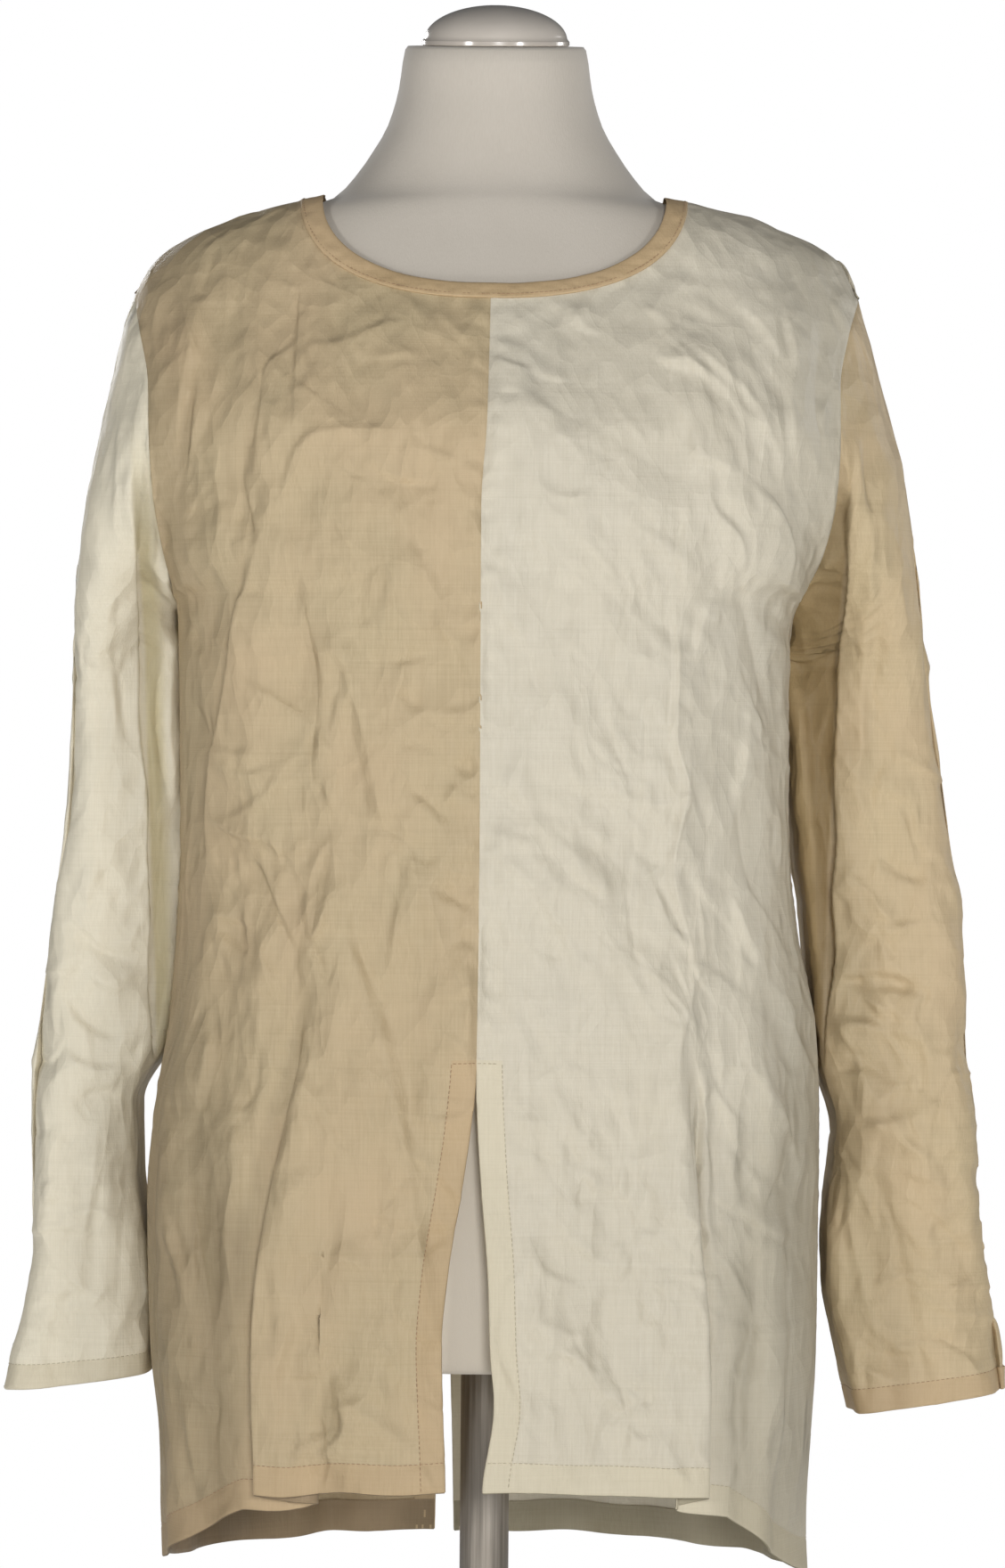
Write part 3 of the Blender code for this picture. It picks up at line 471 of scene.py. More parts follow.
# the main creases of each piece: height, width to the left and to the right, and x, z along it,
# all in mm as seen from the front
mainCreases = {
    "frontRight": [
        (0.9, 1.2, 11, [(-105, 1390), (-105, 1341), (-105, 1290)]),
        (1.3, 2, 8, [(-37, 1300), (-77, 1301), (-98, 1296), (-108, 1281), (-116, 1251)]),
        (2.4, 2.5, 19, [(-102, 1349), (-122, 1337), (-125, 1307), (-129, 1274)]),
        (-2.6, 2.5, 14, [(-138, 1369), (-140, 1329), (-142, 1309), (-147, 1276)]),
        (2, 14, 2, [(-160, 1377), (-163, 1351), (-169, 1321), (-175, 1276)]),
        (2.2, 2, 13, [(-159, 1335), (-161, 1312), (-164, 1288), (-168, 1270)]),
        (-2.4, 1.5, 10, [(-141, 1294), (-147, 1278), (-159, 1264), (-169, 1252)]),
        (-2.2, 10, 1.5, [(-141, 1293), (-134, 1264), (-126, 1239)]),
        (4.5, 2.5, 35, [(-123, 1252), (-129, 1223), (-134, 1196), (-138, 1162), (-146, 1125), (-152, 1095),
                        (-154, 1061)]),
        (0.8, 5, 1.5, [(-117, 1385), (-105, 1380)]),
        (0.9, 1.5, 6, [(-33, 1368), (-19, 1355), (-10, 1345)]),
        (0.8, 6, 1.5, [(-105, 1347), (-84, 1348), (-63, 1358), (-48, 1361)]),
        (0.7, 1.5, 6, [(-67, 1340), (-39, 1343)]),
        (-0.9, 8, 2, [(-68, 1283), (-53, 1273), (-24, 1270)]),
        (0.7, 2, 6, [(-60, 1268), (-53, 1259), (-44, 1246)]),
        (0.8, 6, 1.5, [(-37, 1292), (-16, 1283)]),
        (1, 2, 10, [(-179, 1388), (-185, 1364), (-182, 1330)]),
        (-1.2, 2, 8, [(-150, 1406), (-159, 1383), (-160, 1374)]),
        (-2, 22, 2, [(-102, 1216), (-96, 1184), (-93, 1158), (-96, 1119), (-88, 1102)]),
        (1.4, 3, 14, [(-83, 1202), (-75, 1171), (-64, 1122), (-57, 1092), (-45, 1074)]),
        (-1.2, 1.5, 6, [(-56, 1176), (-44, 1178), (-31, 1181)]),
        (-1, 1.5, 6, [(-49, 1162), (-43, 1155), (-35, 1152)]),
        (1, 2, 11, [(-34, 1203), (-17, 1185), (-7, 1159)]),
        (-0.9, 2, 6, [(-51, 1133), (-37, 1132), (-23, 1128)]),
        (-1.5, 2, 8, [(-20, 1123), (-12, 1119), (-5, 1120)]),
        (-1.5, 2, 8, [(-45, 1110), (-31, 1101), (-22, 1090)]),
        (0.9, 1.5, 5, [(-17, 1112), (-24, 1101)]),
        (-1.5, 2, 8, [(-31, 1058), (-17, 1050), (-4, 1046)]),
        (-1.1, 2, 6, [(-16, 1029), (-4, 1026)]),
        (1.2, 6, 2, [(-146, 1129), (-131, 1115), (-108, 1122)]),
        (1.8, 1.5, 8, [(-152, 1095), (-136, 1084), (-116, 1079), (-112, 1069)]),
        (-2.2, 6, 1.5, [(-127, 1070), (-120, 1054), (-103, 1019)]),
        (1.6, 6, 2, [(-83, 1059), (-87, 1039), (-94, 1031), (-98, 1054)]),
        (-1.6, 2.5, 14, [(-74, 1050), (-67, 1017), (-56, 992), (-44, 954)]),
        (1, 2, 8, [(-45, 1057), (-49, 1036), (-53, 1010)]),
        (-1.6, 1.5, 6, [(-165, 1202), (-161, 1189), (-153, 1176)]),
        (1.3, 1.5, 6, [(-150, 1193), (-144, 1186), (-135, 1178)]),
        (-1.4, 6, 2, [(-163, 1159), (-156, 1142), (-147, 1121)]),
        (1.4, 1.5, 6, [(-154, 1041), (-139, 1038), (-124, 1035)]),
        (-1.6, 1.5, 6, [(-150, 1034), (-137, 1025), (-125, 1013)]),
        (1.6, 6, 1.5, [(-122, 1035), (-119, 1013), (-109, 996)]),
        (-1.4, 1.5, 6, [(-97, 1029), (-90, 1016), (-84, 1001)]),
        (1.7, 4, 42, [(-95, 982), (-102, 956), (-105, 898), (-111, 857), (-112, 796), (-111, 726)]),
        (1.9, 22, 3.5, [(-61, 997), (-50, 953), (-39, 887), (-31, 840), (-25, 808)]),
        (0.9, 2, 6, [(-102, 861), (-80, 859), (-48, 851)]),
        (1.5, 16, 4, [(-93, 802), (-66, 778), (-26, 751)]),
        (1.2, 1.5, 8, [(-84, 765), (-95, 758), (-108, 744)]),
        (1.2, 1.5, 8, [(-70, 765), (-81, 757), (-92, 747)]),
        (2.6, 10, 2.5, [(-140, 951), (-133, 904), (-137, 870), (-130, 800)]),
        (-2.2, 2, 10, [(-163, 910), (-159, 872), (-152, 829), (-146, 800)]),
        (2, 8, 2, [(-176, 896), (-170, 862), (-163, 838), (-154, 814)]),
        (-1.8, 6, 2, [(-176, 867), (-170, 843), (-167, 824)]),
        (2.2, 8, 2, [(-151, 982), (-153, 958), (-160, 929)]),
        (-2, 6, 2, [(-123, 972), (-126, 944), (-136, 934)]),
        (1.8, 2, 8, [(-162, 786), (-159, 757), (-154, 724)]),
        (-1.8, 6, 2, [(-143, 786), (-146, 757), (-144, 724)]),
        (1.6, 6, 2, [(-124, 786), (-126, 757), (-128, 738)]),
    ],
    "frontLeft": [
        (0.9, 1.5, 6, [(39, 1376), (48, 1360), (66, 1352)]),
        (0.9, 2, 8, [(73, 1388), (81, 1373), (97, 1360)]),
        (1.4, 2, 13, [(78, 1372), (85, 1346), (113, 1334), (128, 1322), (144, 1305)]),
        (0.9, 1.5, 6, [(88, 1342), (107, 1339), (124, 1319)]),
        (1.8, 2, 16, [(96, 1358), (119, 1339), (138, 1322), (151, 1300), (161, 1285)]),
        (1.2, 2, 11, [(130, 1375), (144, 1364), (152, 1352), (160, 1340)]),
        (2.4, 2, 16, [(156, 1388), (160, 1363), (164, 1341), (160, 1324), (162, 1304), (169, 1277)]),
        (-1.4, 2, 8, [(177, 1381), (180, 1362), (176, 1328), (179, 1295), (175, 1266)]),
        (1, 6, 2, [(183, 1385), (192, 1369), (195, 1353)]),
        (1, 1.5, 6, [(102, 1295), (116, 1287), (139, 1279)]),
        (3, 14, 2, [(135, 1279), (153, 1262), (161, 1243), (161, 1217)]),
        (1.9, 13, 2, [(115, 1276), (120, 1259), (133, 1245), (139, 1223)]),
        (-1.4, 8, 2, [(104, 1260), (98, 1234), (101, 1218)]),
        (-0.9, 2, 8, [(81, 1342), (81, 1318), (92, 1308)]),
        (0.9, 2, 6, [(56, 1334), (70, 1310), (92, 1286)]),
        (0.7, 2, 6, [(36, 1302), (43, 1293), (51, 1284)]),
        (0.9, 1.5, 8, [(8, 1369), (19, 1355), (32, 1333)]),
        (-1, 6, 1.5, [(20, 1332), (41, 1325), (57, 1316)]),
        (0.8, 5, 1.5, [(0, 1340), (21, 1333)]),
        (-0.8, 6, 2, [(1, 1322), (16, 1320)]),
        (0.6, 6, 2, [(23, 1272), (42, 1265), (66, 1275)]),
        (2.6, 2, 32, [(96, 1225), (100, 1186), (99, 1137), (104, 1110), (98, 1065), (108, 1027), (109, 993)]),
        (-1.4, 19, 3, [(80, 1180), (83, 1134), (79, 1094), (75, 1050), (81, 998)]),
        (-1, 8, 1.5, [(62, 1148), (74, 1116)]),
        (-1, 6, 2, [(52, 1113), (61, 1103), (69, 1091)]),
        (-1.1, 10, 2, [(1, 1210), (16, 1184), (31, 1154)]),
        (1.5, 2, 11, [(-1, 1076), (18, 1063), (39, 1035), (59, 993)]),
        (-1.1, 8, 2, [(-5, 1113), (9, 1104), (22, 1094)]),
        (0.8, 6, 2, [(-4, 1088), (12, 1083), (30, 1080)]),
        (2.4, 2, 8, [(139, 1157), (135, 1124), (131, 1106)]),
        (1.4, 8, 2, [(131, 1179), (141, 1154), (149, 1135)]),
        (-1.8, 8, 2.5, [(133, 1228), (139, 1204), (147, 1175), (152, 1132)]),
        (1.8, 2, 8, [(130, 1056), (138, 1034), (146, 1016)]),
        (1.2, 2, 8, [(121, 1221), (112, 1197), (109, 1180)]),
        (1.2, 8, 2, [(84, 1068), (97, 1038), (110, 1021)]),
        (-1.5, 2.5, 8, [(133, 1103), (138, 1075), (149, 1041)]),
        (1.4, 6, 2, [(151, 1113), (158, 1085), (156, 1051)]),
        (1.2, 16, 3, [(7, 997), (30, 959), (49, 926), (70, 901)]),
        (-1.2, 3, 13, [(33, 934), (49, 912), (73, 898)]),
        (0.9, 2.5, 8, [(23, 894), (47, 871), (73, 846)]),
        (-2, 26, 8, [(83, 993), (82, 936), (79, 864), (85, 807), (88, 769)]),
        (2.8, 35, 2.5, [(103, 998), (116, 936), (118, 876), (124, 841), (122, 788), (123, 713)]),
        (2, 8, 2.5, [(153, 989), (147, 965), (159, 927), (168, 910)]),
        (-1.6, 2, 8, [(168, 908), (155, 889), (150, 874)]),
        (1.8, 8, 2.5, [(121, 869), (134, 845), (147, 822)]),
        (-1.8, 8, 2.5, [(146, 865), (144, 817), (137, 774), (141, 731)]),
        (1.6, 8, 2.5, [(161, 826), (157, 783), (159, 740)]),
        (1.2, 6, 2, [(72, 769), (87, 762), (97, 773)]),
        (1.4, 6, 2, [(96, 766), (101, 749), (110, 735)]),
        (0.8, 6, 2, [(10, 934), (30, 932)]),
        (0.7, 2, 6, [(45, 826), (69, 831)]),
    ],
    "sleeveRight": [
        (2.6, 2, 14, [(-188, 1263), (-187, 1225), (-184, 1168), (-181, 1116), (-177, 1068), (-175, 1025)]),
        (-1.2, 2, 8, [(-211, 1196), (-206, 1158), (-201, 1125)]),
        (2.4, 2, 8, [(-192, 1230), (-182, 1221), (-173, 1212)]),
        (-2.6, 6, 2, [(-191, 1219), (-182, 1210), (-172, 1201)]),
        (2, 6, 2, [(-187, 1201), (-178, 1191), (-170, 1182)]),
        (-1.6, 2, 8, [(-190, 1311), (-192, 1283), (-188, 1254)]),
        (1.3, 2, 8, [(-203, 1316), (-205, 1282), (-208, 1244)]),
        (-1, 1.5, 6, [(-177, 1117), (-169, 1122), (-166, 1125)]),
        (-1, 5, 1.5, [(-174, 1106), (-171, 1112)]),
        (-1.8, 8, 2, [(-234, 1034), (-219, 1019), (-201, 1012)]),
        (1.6, 2, 8, [(-229, 1012), (-214, 998), (-195, 996)]),
        (-1.8, 2, 8, [(-239, 995), (-224, 976), (-204, 967)]),
        (1.6, 8, 2, [(-241, 962), (-221, 950), (-200, 953)]),
        (-1.4, 8, 2.5, [(-233, 929), (-216, 938), (-195, 928)]),
        (1.4, 10, 3, [(-217, 929), (-221, 890), (-227, 843), (-232, 799)]),
        (-1.2, 10, 3, [(-201, 914), (-203, 871), (-207, 824), (-209, 797)]),
    ],
    "sleeveLeft": [
        (2.6, 16, 3, [(209, 1267), (210, 1219), (208, 1171), (207, 1114), (204, 1066)]),
        (2.6, 2, 8, [(169, 1221), (181, 1228), (193, 1223)]),
        (-2.8, 6, 2, [(162, 1204), (174, 1216), (188, 1213)]),
        (2.4, 2, 8, [(161, 1190), (174, 1199), (190, 1194)]),
        (-2, 6, 2, [(164, 1171), (176, 1183), (192, 1179)]),
        (1.6, 2, 10, [(187, 1309), (196, 1281), (196, 1257)]),
        (-1.4, 2, 8, [(202, 1310), (207, 1281), (210, 1252)]),
        (1.6, 8, 2.5, [(167, 1118), (179, 1104), (186, 1097)]),
        (-1.5, 2.5, 8, [(215, 1075), (230, 1064), (247, 1061)]),
        (1.4, 8, 2.5, [(209, 1037), (225, 1033), (249, 1040)]),
        (-1.8, 8, 2, [(192, 999), (216, 1006), (245, 999)]),
        (1.8, 8, 2.5, [(190, 975), (211, 980), (240, 970)]),
        (-1.6, 2, 8, [(185, 946), (207, 956), (236, 944)]),
        (1.6, 8, 2.5, [(188, 917), (212, 922), (245, 931)]),
        (-1.3, 3, 10, [(217, 908), (228, 865), (236, 827), (244, 789)]),
        (1.3, 3, 10, [(198, 898), (205, 855), (215, 817), (220, 789)]),
    ],
}

# seeded creases of each piece: where they lie, how many, their angle from the horizontal and its
# spread, then the ranges of their length, width and height, all in mm
creaseColumns = ("x", "z", "count", "angle", "spread", "length", "width", "tall")
smallCreases = {
    "frontRight": [
        ((-170, -10), (1230, 1400), 38, -65, 28, (22, 78), (4, 10), (0.11, 0.58)),
        ((-175, -60), (1000, 1230), 49, -70, 35, (18, 72), (4, 10), (0.2, 1.02)),
        ((-60, -4), (950, 1180), 38, -20, 30, (12, 44), (4, 10), (0.15, 0.77)),
        ((-185, -112), (700, 1000), 63, 86, 11, (42, 169), (3, 7), (0.15, 0.6)),
        ((-110, -25), (750, 960), 53, -62, 40, (19, 91), (5, 12), (0.4, 1.2)),
    ],
    "frontLeft": [
        ((5, 190), (1230, 1400), 73, -52, 17, (26, 117), (3, 8), (0.15, 0.56)),
        ((5, 95), (950, 1220), 53, -50, 28, (22, 91), (3, 8), (0.25, 0.85)),
        ((95, 175), (950, 1230), 56, -80, 18, (26, 117), (3, 8), (0.3, 1.1)),
        ((110, 185), (700, 960), 56, 87, 12, (36, 156), (3, 7), (0.15, 0.6)),
        ((10, 112), (750, 960), 59, -60, 34, (22, 110), (4, 10), (0.5, 1.5)),
    ],
    "backRight": [
        ((-180, -5), (1180, 1400), 67, 72, 26, (24, 98), (4, 10), (0.2, 1.1)),
        ((-175, -5), (930, 1180), 79, 85, 30, (24, 98), (4, 10), (0.2, 1.19)),
        ((-180, -30), (700, 930), 79, 88, 24, (24, 104), (4, 10), (0.25, 1.36)),
    ],
    "backLeft": [
        ((5, 185), (1180, 1400), 67, -72, 26, (24, 98), (4, 10), (0.2, 1.1)),
        ((5, 175), (930, 1180), 79, -85, 30, (24, 98), (4, 10), (0.2, 1.19)),
        ((0, 180), (700, 930), 79, 88, 24, (24, 104), (4, 10), (0.25, 1.36)),
    ],
    "sleeveRight": [
        ((-260, -170), (1190, 1330), 24, 80, 20, (24, 78), (4, 10), (0.15, 0.85)),
        ((-260, -170), (940, 1190), 38, 75, 35, (18, 72), (4, 10), (0.15, 0.94)),
        ((-270, -175), (800, 1010), 45, 15, 30, (18, 65), (4, 10), (0.2, 1.27)),
    ],
    "sleeveLeft": [
        ((170, 270), (1190, 1330), 24, -80, 20, (24, 78), (4, 10), (0.15, 0.85)),
        ((170, 270), (940, 1190), 50, -78, 25, (24, 104), (3, 7), (0.3, 1.2)),
        ((175, 285), (790, 1010), 73, -30, 40, (22, 78), (3, 7), (0.3, 1.4)),
    ],
}


def creaseHeights(name, x, z, seed):
    heights = crumpleField(x, z, seed, creaseLean[name])
    for tall, *shape in mainCreases.get(name, []):
        addCrease(heights, x, z, tall * creaseScale["main"], *shape)
    for number, row in enumerate(smallCreases[name]):
        scatterCreases(heights, x, z, seed + 50 + number, dict(zip(creaseColumns, row)))
    return heights * creaseScale.get(name, 1)


def gridNormals(points, closed=False):
    if closed:
        wrapped = np.concatenate([points[:, -1:], points, points[:, :1]], axis=1)
        across = (wrapped[:, 2:] - wrapped[:, :-2]) / 2
    else:
        across = np.gradient(points, axis=1)
    return unit(np.cross(np.gradient(points, axis=0), across))


# rows of cloth carried on round its edge and back inside; edge first
def turnedUnder(points, normals, rows, gap):
    outward = unit(points[rows[0]] - points[rows[1]])
    strip = [points[rows[0]] - normals[rows[0]] * gap / 2 + outward * gap / 2]
    for row in rows:
        strip.append(points[row] - normals[row] * gap)
    return np.array(strip)


def gridFaces(rows, columns, start=0, closed=False, flip=False):
    ids = start + np.arange(rows * columns).reshape(rows, columns)
    if closed:
        ids = np.concatenate([ids, ids[:, :1]], axis=1)
    corners = [ids[:-1, :-1], ids[1:, :-1], ids[1:, 1:], ids[:-1, 1:]]
    return np.stack(corners[::-1] if flip else corners, axis=-1)


def addObject(name, data):
    made = bpy.data.objects.new(name, data)
    bpy.context.scene.collection.objects.link(made)
    return made


# one mesh from grids of points, each with its faces' material numbers
def meshFromGrids(name, grids, materials, closed=False, flip=False, wall=0):
    points, faces, slots = [], [], []
    start = 0
    for grid, numbers in grids:
        rows, columns = grid.shape[:2]
        points.append(grid.reshape(-1, 3))
        faces.append(gridFaces(rows, columns, start, closed, flip).reshape(-1, 4))
        slots.append(np.broadcast_to(numbers, (rows - 1, columns if closed else columns - 1)).reshape(-1))
        start += rows * columns
    mesh = bpy.data.meshes.new(name)
    mesh.from_pydata(np.concatenate(points).tolist(), [], np.concatenate(faces).tolist())
    mesh.polygons.foreach_set("material_index", np.concatenate(slots).astype(np.int32))
    for material in materials:
        mesh.materials.append(material)
    bm = bmesh.new()
    bm.from_mesh(mesh)
    bmesh.ops.remove_doubles(bm, verts=bm.verts, dist=2e-6)
    bm.to_mesh(mesh)
    bm.free()
    mesh.shade_smooth()
    piece = addObject(name, mesh)
    if wall:
        thick = piece.modifiers.new("wall", "SOLIDIFY")
        thick.thickness = wall
        thick.offset = -1
    return piece


def declare(piece, node):
    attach(piece, "root")
    if node:
        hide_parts(node)
    return piece


# a stitch's rings: place along it, size, and how far it stands up, in radii
stitchRings = ((-0.5, 0.45, -0.6), (-0.3, 1.0, 0.4), (0.3, 1.0, 0.4), (0.5, 0.45, -0.6))


# short lengths of thread along a path, as one mesh
def sewStitches(name, paths, material, pitch=0.0028, length=0.0019, radius=0.00021):
    points, faces = [], []
    turn = np.arange(5) * 2 * pi / 5
    for path, normals in paths:
        steps = np.linalg.norm(np.diff(path, axis=0), axis=1)
        run = np.concatenate([[0], np.cumsum(steps)])
        places = np.arange(pitch / 2, run[-1] - pitch / 2, pitch)
        centre = np.stack([np.interp(places, run, path[:, axis]) for axis in range(3)], axis=-1)
        ahead = np.stack([np.interp(places + 0.0006, run, path[:, axis]) for axis in range(3)], axis=-1)
        lift = unit(np.stack([np.interp(places, run, normals[:, axis]) for axis in range(3)], axis=-1))
        forward = unit(ahead - centre)
        beside = unit(np.cross(forward, lift))
        for middle, f, b, n in zip(centre, forward, beside, lift):
            start = len(points)
            for share, size, sink in stitchRings:
                hub = middle + f * length * share + n * radius * sink
                for angle in turn:
                    points.append(hub + (b * cos(angle) + n * sin(angle)) * radius * size)
            for ring in range(3):
                for k in range(5):
                    n1, n2 = start + ring * 5 + k, start + ring * 5 + (k + 1) % 5
                    faces.append((n1, n2, n2 + 5, n1 + 5))
            faces.append(tuple(range(start + 4, start - 1, -1)))
            faces.append(tuple(range(start + 15, start + 20)))
    mesh = bpy.data.meshes.new(name)
    mesh.from_pydata([tuple(p) for p in points], [], faces)
    mesh.materials.append(material)
    mesh.shade_smooth()
    return addObject(name, mesh)


print("shapes and creases ready")


def node(material, kind, **values):
    made = material.node_tree.nodes.new("ShaderNode" + kind)
    for key, value in values.items():
        if hasattr(made, key):
            setattr(made, key, value)
        else:
            made.inputs[key.replace("_", " ")].default_value = value
    return made


def newMaterial(name):
    material = bpy.data.materials.new(name)
    material.use_nodes = True
    return material, material.node_tree.links, material.node_tree.nodes["Principled BSDF"]


def wire(material, output, socket):
    material.node_tree.links.new(output, socket)


def axesOf(material, place):
    apart = node(material, "SeparateXYZ")
    wire(material, place, apart.inputs["Vector"])
    return [apart.outputs[axis] for axis in "XYZ"]


# noise read along the object, stretched by the scale on each axis
def stretchedNoise(material, place, scale, detail=2.0, kind="FBM", roughness=0.5):
    mapping = node(material, "Mapping")
    mapping.inputs["Scale"].default_value = scale
    noise = node(material, "TexNoise", noise_dimensions="3D", noise_type=kind)
    noise.inputs["Scale"].default_value = 1
    noise.inputs["Detail"].default_value = detail
    noise.inputs["Roughness"].default_value = roughness
    wire(material, place, mapping.inputs["Vector"])
    wire(material, mapping.outputs["Vector"], noise.inputs["Vector"])
    return noise.outputs["Fac"]


# flat-sided cells with sharp edges, bent a little, as in pressed crumpled cloth
def facetNoise(material, place, scale):
    bend = node(material, "TexNoise", noise_dimensions="3D")
    bend.inputs["Scale"].default_value = 14
    bend.inputs["Detail"].default_value = 1
    wire(material, place, bend.inputs["Vector"])
    shifted = node(material, "VectorMath", operation="MULTIPLY_ADD")
    wire(material, bend.outputs["Color"], shifted.inputs[0])
    shifted.inputs[1].default_value = (0.03, 0.03, 0.03)
    wire(material, place, shifted.inputs[2])
    mapping = node(material, "Mapping")
    mapping.inputs["Scale"].default_value = scale
    wire(material, shifted.outputs["Vector"], mapping.inputs["Vector"])
    cells = node(material, "TexVoronoi", voronoi_dimensions="3D", feature="F1")
    cells.inputs["Scale"].default_value = 1
    wire(material, mapping.outputs["Vector"], cells.inputs["Vector"])
    return cells.outputs["Distance"]


def math(material, operation, a, b=None, clamp=False):
    made = node(material, "Math", operation=operation, use_clamp=clamp)
    for socket, value in zip(made.inputs, (a, b)):
        if value is None:
            continue
        if isinstance(value, (int, float)):
            socket.default_value = value
        else:
            wire(material, value, socket)
    return made.outputs[0]


def remap(material, value, low, high, toLow, toHigh):
    made = node(material, "MapRange")
    wire(material, value, made.inputs["Value"])
    for key, number in (("From Min", low), ("From Max", high), ("To Min", toLow), ("To Max", toHigh)):
        made.inputs[key].default_value = number
    return made.outputs["Result"]


def scaleAdd(material, value, times, plus, clamp=False):
    made = node(material, "Math", operation="MULTIPLY_ADD", use_clamp=clamp)
    wire(material, value, made.inputs[0])
    made.inputs[1].default_value, made.inputs[2].default_value = times, plus
    return made.outputs[0]


def blendOf(material, values, shares):
    parts = [math(material, "MULTIPLY", value, share) for value, share in zip(values, shares)]
    return math(material, "ADD", *parts)


def colourRamp(material, value, deep, pale, low=0.0, high=1.0):
    ramp = node(material, "ValToRGB")
    for element, place, colour in zip(ramp.color_ramp.elements, (low, high), (deep, pale)):
        element.position = place
        element.color = (*colour, 1)
    wire(material, value, ramp.inputs["Fac"])
    return ramp.outputs["Color"]


# the colour carried over to another, or multiplied by it, where the amount says so
def tinted(material, colour, amount, other, way="MIX"):
    mix = node(material, "Mix", data_type="RGBA", blend_type=way)
    wire(material, amount, mix.inputs["Factor"])
    wire(material, colour, mix.inputs[6])
    mix.inputs[7].default_value = (*other, 1)
    return mix.outputs[2]


def bump(material, height, strength, distance, under=None):
    made = node(material, "Bump")
    made.inputs["Strength"].default_value = strength
    made.inputs["Distance"].default_value = distance
    wire(material, height, made.inputs["Height"])
    if under:
        wire(material, under, made.inputs["Normal"])
    return made.outputs["Normal"]


# in metres, for the painted shade down the sides: how far out the cloth lies near the form and is left
# unshaded, above and below, and between which heights that narrows; then, for the painted shade in a sleeve's
# pressed fold, its fold line out from the middle, and how high and far back it runs
paintedShadeEdge = {"above": 0.148, "narrower": 0.030, "start": 1.06, "grow": 5.0}
sleeveFold = {"out": 0.1563, "slope": 0.0328, "top": 1.31, "foot": 0.905, "back": 0.035}


# painted shade: darker down the sides and, a little, towards the hem, where the cloth hangs off the pale form
def paintedHangingShade(material, place, patches, colour, look):
    x, _, z = axesOf(material, place)
    uneven = remap(material, patches, 0.3, 0.7, -0.012, 0.012)
    out = math(material, "ADD", math(material, "ABSOLUTE", x), uneven)
    grow = paintedShadeEdge["grow"]
    low = scaleAdd(material, z, -grow, grow * paintedShadeEdge["start"], clamp=True)
    edge = scaleAdd(material, low, -paintedShadeEdge["narrower"], paintedShadeEdge["above"])
    hanging = math(material, "MULTIPLY", math(material, "SUBTRACT", out, edge), 40.0, clamp=True)
    hanging = math(material, "MAXIMUM", hanging, math(material, "MULTIPLY", low, 0.2))
    share = scaleAdd(material, low, look["shade"] * 0.6, look["shade"] * 0.4)
    amount = math(material, "MULTIPLY", hanging, share)
    return tinted(material, colour, amount, look["paintedShadeTint"], "MULTIPLY")


# darker inside the pressed fold of a sleeve: partly cloth over cloth, mostly painted shade of the recess
def paintedFoldShade(material, place, colour, look):
    x, y, z = axesOf(material, place)
    line = scaleAdd(material, z, sleeveFold["slope"], sleeveFold["out"])
    within = math(material, "SUBTRACT", line, math(material, "ABSOLUTE", x))
    past = math(material, "MULTIPLY", math(material, "SUBTRACT", within, look["fold"]), 160.0, clamp=True)
    inside = math(material, "MULTIPLY", within, 500.0, clamp=True)
    inside = math(material, "MULTIPLY", inside, math(material, "SUBTRACT", 1.0, past))
    for axis, steep, limit in ((z, -11, "top"), (z, 12, "foot"), (y, -60, "back")):
        kept = scaleAdd(material, axis, steep, -steep * sleeveFold[limit], clamp=True)
        inside = math(material, "MULTIPLY", inside, kept)
    return tinted(material, colour, inside, look["foldTint"], "MULTIPLY")


